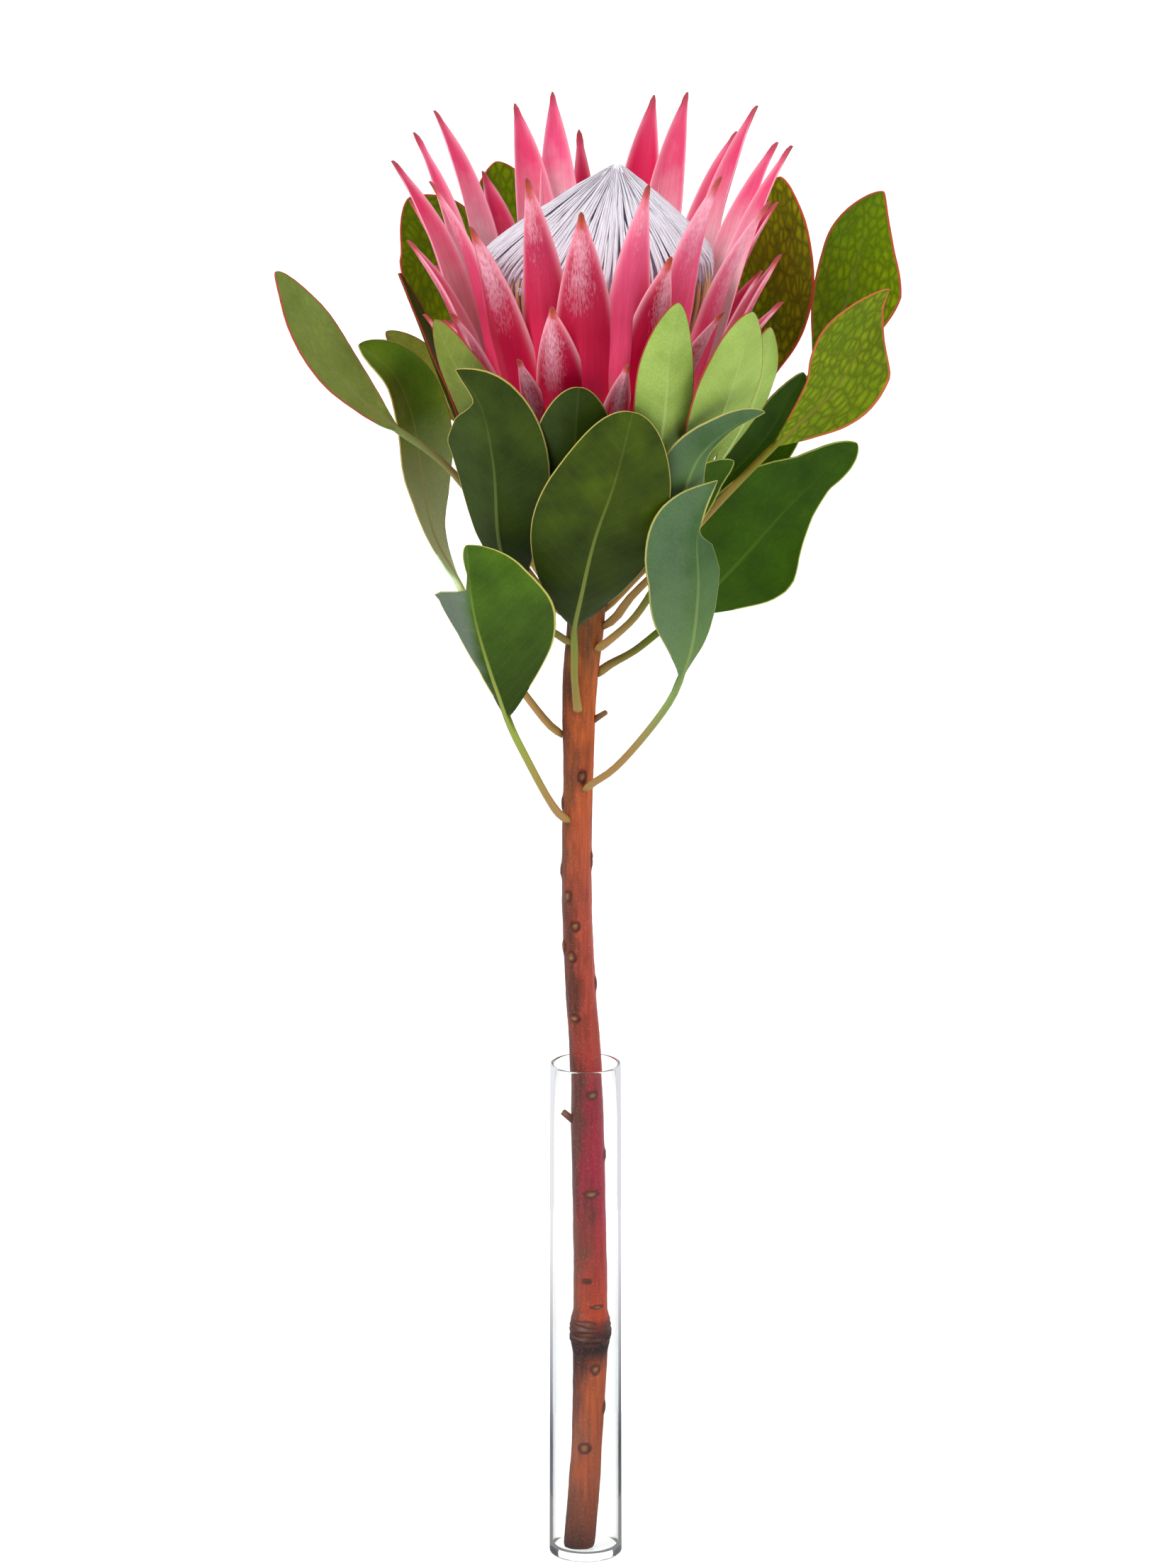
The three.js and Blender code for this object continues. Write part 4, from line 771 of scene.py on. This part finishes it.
# Bracts that the front view shows: tip, width, ring, twist in degrees, and how pale each is.
BRACTS = [
    ((-68, 50, 666), 20, "inner", 0, 0.6), ((-32, 80, 662), 22, "inner", 0, 0.5),
    ((-15, 86, 666), 21, "inner", 0, 1.0), ((31, 84, 665), 23, "inner", 0, 0),
    ((46, 77, 668), 21, "inner", 0, 0.5), ((68, 60, 654), 21, "inner", 0, 0.3),
    ((77, 47, 669), 19, "inner", 0, 0.6), ((86, 31, 656), 18, "inner", 25, 0.8),
    ((92, 8, 660), 17, "inner", 26, 0.7), ((-77, 33, 660), 12, "inner", -30, 0.6),
    ((-86, -8, 657), 21, "inner", -35, 0.3), ((-69, -47, 657), 24, "inner", -15, 0.7),
    ((-26, -82, 667), 25, "inner", 0, 0.3), ((28, -85, 665), 23, "inner", 0, 0.95),
    ((60, -67, 664), 24, "inner", 0, 1.0), ((82, -39, 646), 23, "second", 0, 0.8),
    ((-3, 92, 647), 14, "second", 0, 0), ((-55, 72, 632), 18, "second", 0, 0),
    ((-79, -30, 626), 20, "second", -25, 0.4), ((-51, -66, 641), 26, "second", 0, 0.1),
    ((-2, -88, 653), 30, "second", 0, 0.15), ((38, -77, 630), 26, "second", 0, 0),
    ((87, -24, 618), 15, "outer", 20, 0.3), ((88, -12, 593), 13, "outer", 15, 0.3),
    ((61, -57, 600), 18, "outer", 0, 0.1), ((-15, -76, 607), 26, "outer", 0, 0),
    ((-60, -39, 595), 13, "outer", 0, 0.2), ((-72, -18, 589), 12, "outer", 0, 0.2),
    ((-30, -60, 579), 15, "lowest", 0, 0), ((19, -66, 578), 15, "lowest", 0, 0),
]
# Bracts behind the head, evenly spread with a little chance: turns, reach, height, width, ring.
BACK_BRACTS = [
    ((18, 50, 76, 124, 160), 86, 634, 21, "second"),
    ((14, 50, 85, 120, 156), 79, 603, 19, "outer"),
    ((5, 60, 115, 170), 66, 577, 16, "lowest"),
]
# Each ring's root, as radius and height, how its tips lean, and where its silver down begins.
RINGS = {"inner": ((38, 544), 0.19, 0.6), "second": ((36, 539), 0.17, 0.45), "outer": ((31, 532), 0.14, 0.2),
         "lowest": ((25, 526), 0.16, 0.15)}
BRACT_COLUMNS = mirrored([0.15, 0.36, 0.58, 0.78, 0.93, 1])
BRACT_STEPS = 34


def even_chances(number, factor=16807, limit=2147483647):
    """Numbers between 0 and 1 by chance, the same that spread the back bracts of the CAD."""
    while True:
        number = number * factor % limit
        yield number / limit


def bract_shape(share, round_off):
    """How much of a bract's full width it has at a share of its length."""
    if share < 0.4:
        return mix(0.55, 1, ease(share / 0.4))
    return 1 - ((share - 0.4) / 0.6) ** round_off


def bract(bm, layers, chance, tip, width, ring, twist=0, pale=0.2):
    """Adds one bract: it bows out from the cup, rises to its tip and hooks inwards over the florets."""
    (root_reach, root_height), lean, bare = RINGS[ring]
    centre = Vector((CUP_X, 0, 0))
    tip = Vector(tip)
    outward = Vector((tip.x - centre.x, tip.y, 0))
    reach = outward.length
    outward.normalize()
    rise = tip.z - root_height
    round_off = mix(2.1, 3.4, ease(0.5 + 0.5 * outward.y))
    bezier = [centre + outward * r + Vector((0, 0, z)) for r, z in (
        (root_reach, root_height), (root_reach + 22, root_height + 3),
        (reach - lean * rise, tip.z - 0.5 * rise), (reach, tip.z))]
    tone = chance.uniform(0, 100)
    hook = chance.uniform(2.5, 5) + 3 * abs(outward.x)
    sway = chance.uniform(-2, 2)
    folds = chance.uniform(0, math.tau)
    bare += chance.uniform(-0.08, 0.12)
    beside = chance.uniform(-0.3, 0.3)
    length = 0
    frames = []
    before = bezier[0]
    for i in range(BRACT_STEPS + 1):
        t = 1 - (1 - i / BRACT_STEPS) ** 1.25
        u = 1 - t
        place = (bezier[0] * u ** 3 + bezier[1] * 3 * u * u * t + bezier[2] * 3 * u * t * t
                 + bezier[3] * t ** 3)
        ahead = ((bezier[1] - bezier[0]) * u * u + (bezier[2] - bezier[1]) * 2 * u * t
                 + (bezier[3] - bezier[2]) * t * t).normalized()
        length += (place - before).length
        before = place
        spin = Matrix.Rotation(math.radians(twist) * ease(2 * t), 3, ahead)
        across = spin @ Vector((-outward.y, outward.x, 0))
        frames.append((t, place, across, ahead.cross(across), length))
    for v, i, k, top in slab(bm, BRACT_STEPS, len(BRACT_COLUMNS) - 1):
        share, place, across, inward, reach_along = frames[i]
        s = BRACT_COLUMNS[k]
        half = max(width / 2 * bract_shape(share, round_off), 0.3 + 1.3 * math.sqrt(min((1 - share) * 40, 1)))
        thick = mix(0.26, mix(0.8, 0.4, share), (1 - abs(s)) ** 1.2)
        # It is a shallow trough with soft folds and a slow buckle
        lift = 0.5 * half * s * s
        lift += 0.22 * math.sin(5 * s + folds) * math.sin(math.pi * share) * (1 - s * s)
        lift += 0.5 * noise.noise(Vector((reach_along / 20, s * 1.5, tone))) * ease(share * 2)
        # A faint midrib stands out on the outside
        side = thick if top else -thick - 0.35 * math.exp(-(half * s / 1.1) ** 2) * ease(share * 2)
        v.co = place + across * (half * s) + inward * (lift + side)
        # It hooks inwards and sways aside, most of all two thirds of the way up
        v.co += (inward * hook + across * sway) * 6.75 * share * share * (1 - share)
        # The down's band: narrow where it starts below, and as wide as the bract near the tip
        band = math.exp(-((s - beside) / mix(0.3, 1.1, ease(share * share))) ** 2)
        silver = 1.3 * band * ease((share - bare) / 0.4) * (1 - ease((share - 0.93) / 0.04))
        write(v, layers, (reach_along, half * s, half * (1 - abs(s)), top, share, tone, pale, silver))


def bract_cup():
    """All the bracts, and the woody cup that carries them."""
    bm, layers = new_mesh(BRACT_VALUES)
    chance = random.Random(SEED)
    for spec in BRACTS:
        bract(bm, layers, chance, *spec)
    spread = even_chances(SEED)
    for turns, reach, height, width, ring in BACK_BRACTS:
        for turn in turns:
            angle = math.radians(turn + mix(-2, 2, next(spread)))
            far = reach + mix(-2, 2, next(spread))
            tip = (CUP_X + far * math.cos(angle), far * math.sin(angle), height + mix(-5, 5, next(spread)))
            bract(bm, layers, chance, tip, width, ring)
    seat = STEM_TOP + CLEARANCE
    profile = [(0, seat), (12.2, seat), (18, 519), (24, 522), (30, 526), (34, 530), (38.5, 535), (41, 540),
               (42.8, 545), (43, CUP_TOP), (0, CUP_TOP)]
    for v in turned(bm, profile, 56, CUP_X):
        write(v, layers, (v.co.z, v.co.x, 9, 0, 0.05, 0, 0, 0))
    finished(bm, "bract_cup", velvet_bract(), "bracts")


# The florets' outer surface: radius, 0 and height above their seat, from the foot to the apex.
DOME_PROFILE = [(33, 0, 0), (43.5, 0, 16), (49.5, 0, 36), (52, 0, 50), (52.6, 0, 57), (51, 0, 63),
                (47, 0, 67.8), (37.5, 0, 76.4), (25, 0, 86.6), (12.8, 0, 96.6), (7, 0, 101.2),
                (4.2, 0, 103.8), (2, 0, 105.5), (0.05, 0, 106.3)]
# How far the dome's middle stands to the right of the stem's axis at each height.
DOME_SHIFT = [(0, 3), (60, 5), (107, 14.3)]
LOCKS = 112
DRY_TUBES = 96


def in_dome(radius, height, turn):
    """A place in the leaning dome."""
    return Vector((along(DOME_SHIFT, height) + radius * math.cos(turn), radius * math.sin(turn),
                   DOME_FOOT + height))


def strand(bm, layers, surface, turn, low, high, width, shift, proud, tone, tan=0.0):
    """A strand of silk on the dome, between two distances from its apex. It tapers to both ends."""
    total = surface[1][-1]
    steps, sides = 12, 5
    sway = 0.5 * math.sin(tone * 60)
    for v, i, k in rolled(bm, steps, sides):
        share = i / steps
        back = mix(low, high, share)
        place, ahead = on_route(surface, 1 - back / total)
        outward = Vector((ahead.z, 0, -ahead.x))
        wide = along(width, back)
        girth = wide * min(1, math.sqrt(share * 4)) * min(1, math.sqrt((1 - share) * 3))
        around = math.tau * k / sides
        # Both its ends sink among the others
        dip = 0.9 * max(share - 0.75, 0) / 0.25 + 0.8 * max(0.15 - share, 0) / 0.15
        local = place + outward * (proud - dip + girth * 0.7 * math.sin(around))
        aside = wide * (along(shift, back) + sway * math.sin(math.pi * share)) + girth * math.cos(around)
        v.co = in_dome(local.x, local.z, turn + aside / max(place.x, 1.5))
        write(v, layers, ((1 - share) * (low - high), girth * math.cos(around), tan, tone))


def florets():
    """The dome of silky florets, with their dry tubes under its rim."""
    bm, layers = new_mesh(FLORET_VALUES)
    chance = random.Random(SEED + 1)
    surface = route_through(DOME_PROFILE)
    golden = math.pi * (3 - math.sqrt(5))
    # Half a strand's width at each distance from the apex
    width = [(0, 0.3), (25, 0.54), (60, 0.66), (72, 0.58)]
    # Locks of three strands, each lock a golden angle on from the last and its tip further from the apex
    for n in range(LOCKS):
        tip_back = 1.1 * (n + 0.4) / (4.9 - 0.0285 * n)
        turn = n * golden + chance.uniform(-0.02, 0.02)
        proud = chance.uniform(-0.35, 0.35)
        for side in (-1, 0, 1):
            low = chance.uniform(70, 79) - 2 * abs(side)
            high = tip_back * chance.uniform(0.7, 1.1)
            # Its strands lie side by side near the apex and run together towards the rim
            open_up = [(0, 1.6 * side), (38, 1.5 * side), (62, 0.95 * side), (78, 0.35 * side)]
            strand(bm, layers, surface, turn, low, high, width, open_up,
                   proud + 0.35 * (side == 0) + chance.uniform(-0.1, 0.1), chance.uniform(0, 1))
    # Dry tan floret tubes under the rim
    for n in range(DRY_TUBES):
        low = chance.uniform(98, 106)
        turn = math.tau * (n + chance.uniform(-0.3, 0.3)) / DRY_TUBES
        strand(bm, layers, surface, turn, low, chance.uniform(66, 74), [(0, 1.2)], [(0, 0)],
               chance.uniform(-2.2, -1.2), chance.uniform(0, 1), 1.0)
    bmesh.ops.remove_doubles(bm, verts=bm.verts[:], dist=1e-4)
    finished(bm, "floret_silk_dome", silky_floret(), "florets")


def floret_core():
    """What shows in the gaps between the florets."""
    bm = bmesh.new()
    profile = [(0, 0.1), (31, 0.1), (41.5, 16), (47, 36), (49.5, 50), (49.5, 58), (47.5, 62), (43.5, 66),
               (34.5, 74), (22, 84.3), (10, 94), (3, 100.5), (0, 103)]
    for v in turned(bm, profile, 64):
        v.co = in_dome(math.hypot(v.co.x, v.co.y), v.co.z, math.atan2(v.co.y, v.co.x))
    finished(bm, "floret_core", mauve_core(), "florets")


# Studio

# The camera stands far off with a long lens, and looks down a little.
CAMERA_TILT = 16  # degrees
CAMERA_AWAY = 7.0  # metres
CAMERA_LENS = 356
CAMERA_SENSOR = 36
CAMERA_TARGET = (1.1, 0, 365.6)
FLOOR_RADIUS = 16  # metres
FLOOR_TOP = -0.2  # just under the tube's foot, so that the two don't meet


def studio():
    """A plain pale floor, soft lights and the camera."""
    bm = bmesh.new()
    bmesh.ops.create_circle(bm, cap_ends=True, segments=64, radius=FLOOR_RADIUS)
    bmesh.ops.translate(bm, vec=(0, 0, FLOOR_TOP * MM), verts=bm.verts[:])
    material, tree = blank("plain_white_floor")
    shader = add(tree, "BsdfPrincipled", {
        "Base Color": "#a4a4a4", "Roughness": 0.9, "Emission Color": "#ffffff", "Emission Strength": 0.8})
    add(tree, "OutputMaterial", [shader])
    floor = placed(bm, "studio_floor", material)
    floor.visible_glossy = False

    # Cards round the tube, seen only through its glass, draw its edges: place, size, shade below and above
    for name, place, size, dark, light in (
            ("left_card", (-0.07, 0.125, 0.164), (0.001, 0.25, 0.3), "#5c5c64", "#d2d2d6"),
            ("right_card", (0.07, 0.125, 0.164), (0.001, 0.25, 0.3), "#4c4c53", "#c8c8ce"),
            ("back_card", (0, 0.2, 0.05), (0.12, 0.001, 0.1), "#ffffff", "#ffffff")):
        bm = bmesh.new()
        bmesh.ops.create_cube(bm, size=1)
        bmesh.ops.scale(bm, vec=size, verts=bm.verts[:])
        bmesh.ops.translate(bm, vec=place, verts=bm.verts[:])
        material, tree = blank(name + "_grey")
        height = add(tree, "SeparateXYZ", [millimetres(tree)], out="Z")
        height = add(tree, "MapRange", [height, 40.0, 130.0])
        glow = add(tree, "Mix", [height, dark, light], data_type="RGBA")
        shader = add(tree, "BsdfPrincipled", {
            "Base Color": "#000000", "Specular IOR Level": 0.0, "Emission Color": glow,
            "Emission Strength": 1.3})
        add(tree, "OutputMaterial", [shader])
        card = placed(bm, name, material)
        card.visible_camera = card.visible_diffuse = card.visible_shadow = False
        card.visible_transmission = name == "back_card"

    world = bpy.data.worlds.new("soft_white_room")
    world.use_nodes = True
    background = world.node_tree.nodes["Background"]
    background.inputs["Color"].default_value = (1, 1, 1, 1)
    background.inputs["Strength"].default_value = 0.25
    bpy.context.scene.world = world
    # Broad far lights: name, where each comes from, strength, and how wide it is in degrees
    for name, place, power, width in (("key_light", (-0.9, -0.7, 1.15), 2.8, 28),
                                      ("fill_light", (1.3, -0.5, 0.6), 1.3, 45),
                                      ("back_light", (0.25, 1.0, 1.1), 1.8, 60)):
        data = bpy.data.lights.new(name, "SUN")
        data.energy = power
        data.angle = math.radians(width)
        lamp = bpy.data.objects.new(name, data)
        lamp.rotation_euler = (-Vector(place)).to_track_quat("-Z", "Y").to_euler()
        lamp.visible_glossy = name == "key_light"
        bpy.context.scene.collection.objects.link(lamp)

    tilt = math.radians(CAMERA_TILT)
    camera = bpy.data.objects.new("camera", bpy.data.cameras.new("camera"))
    camera.data.sensor_width = CAMERA_SENSOR
    camera.data.lens = CAMERA_LENS
    camera.data.clip_end = 60
    camera.location = Vector(CAMERA_TARGET) * MM + Vector((0, -math.cos(tilt), math.sin(tilt))) * CAMERA_AWAY
    camera.rotation_euler = (math.pi / 2 - tilt, 0, 0)
    bpy.context.scene.collection.objects.link(camera)
    bpy.context.scene.camera = camera
    bpy.context.scene.view_settings.view_transform = "Standard"


# lit, warm and bright paint the glow of light coming through a leaf into their inner colours, with the veins
# dark against it. dark is partly the leaves' own deep green and partly painted shade
LEAF_FINISHES = {
    "front": leaf_finish("green_leaf", ("#465a0c", "#26350a"), ("#3f5c10", "#2a4406", "#1f3404"),
                         "#b3a558", "#7f8a3a", low="#2e3d0d"),
    "deep": leaf_finish("deep_green_leaf", ("#3c4e12", "#283809"), ("#3f5c10", "#2a4406", "#1f3404"),
                        "#b3a558", "#66733a", low="#2a3a12", left_sheen=0.03),
    "sheened": leaf_finish("green_leaf_painted_sheen", ("#4c6c1a", "#35500f"), ("#3f5c10", "#2a4406", "#1f3404"),
                        "#c4bd62", "#93a044", low="#30450f", left_sheen=0.75, edge=0.5),
    "bluish": leaf_finish("sea_green_leaf", ("#4d7040", "#3a5a2e"), ("#35540a", "#243c05", "#1c3003"),
                          "#a8a45a", "#7d9450", low="#638249", shine=0.25, left_sheen=0.2, edge=0.3),
    "pale": leaf_finish("pale_young_leaf", ("#a3bd5e", "#839f45"), ("#8d9c3f", "#6d7d24", "#53651b"),
                        "#9c4432", "#b0c27a", low="#7f9843", vein=0.12),
    "olive": leaf_finish("olive_young_leaf", ("#7f8c3a", "#66742c"), ("#76822c", "#59661c", "#455410"),
                         "#9c5538", "#9aa35a", low="#5c6a28", vein=0.12),
    "side": leaf_finish("side_leaf", ("#9bb24e", "#829a3c"), ("#7f9345", "#5f7430", "#4e6226"),
                        "#a84a36", "#78824a", low="#7c8554", vein=0.06, net=0.25, edge=0.55),
    "shady": leaf_finish("two_sided_leaf", ("#74962c", "#4a691c"), ("#82a42e", "#5e8424", "#1f3404"),
                         "#b0a05c", "#b4bd72", low="#c6e0a6", low_inner="#cce6ae"),
    "edge": leaf_finish("edge_on_leaf", ("#3b3a0c", "#2c2408"), ("#3c4a0a", "#2a3606", "#202a04"),
                        "#8a3a24", "#6a6030", edge=0.8),
    "lit": leaf_finish("glowing_leaf", ("#71872f", "#54681c"), ("#84a004", "#5a7c06", "#27450a"),
                       "#b8563a", "#6d7c2c", net=0.65, vein=0.05, edge=0.9),
    "warm": leaf_finish("backlit_leaf", ("#71872f", "#54681c"), ("#a6ae0e", "#7c8608", "#2f3806"),
                        "#cc5c3c", "#5d6424", net=0.8, vein=0.05, edge=1.1),
    "bright": leaf_finish("sunlit_leaf", ("#71872f", "#54681c"), ("#8ea004", "#607a02", "#2a3f02"),
                          "#c4683e", "#7c7826", net=0.65, vein=0.05, edge=0.9),
    "dark": leaf_finish("dark_glossy_leaf", ("#3f5c16", "#2b440a"), ("#3f6404", "#2c4a02", "#1e3402"),
                        "#a9b450", "#4d6a14", net=0.15, gloss=0.34, edge=0.5),
}

studio()
glass_tube()
stem()
for spec in LEAVES:
    leaf(**spec)
bract_cup()
florets()
floret_core()
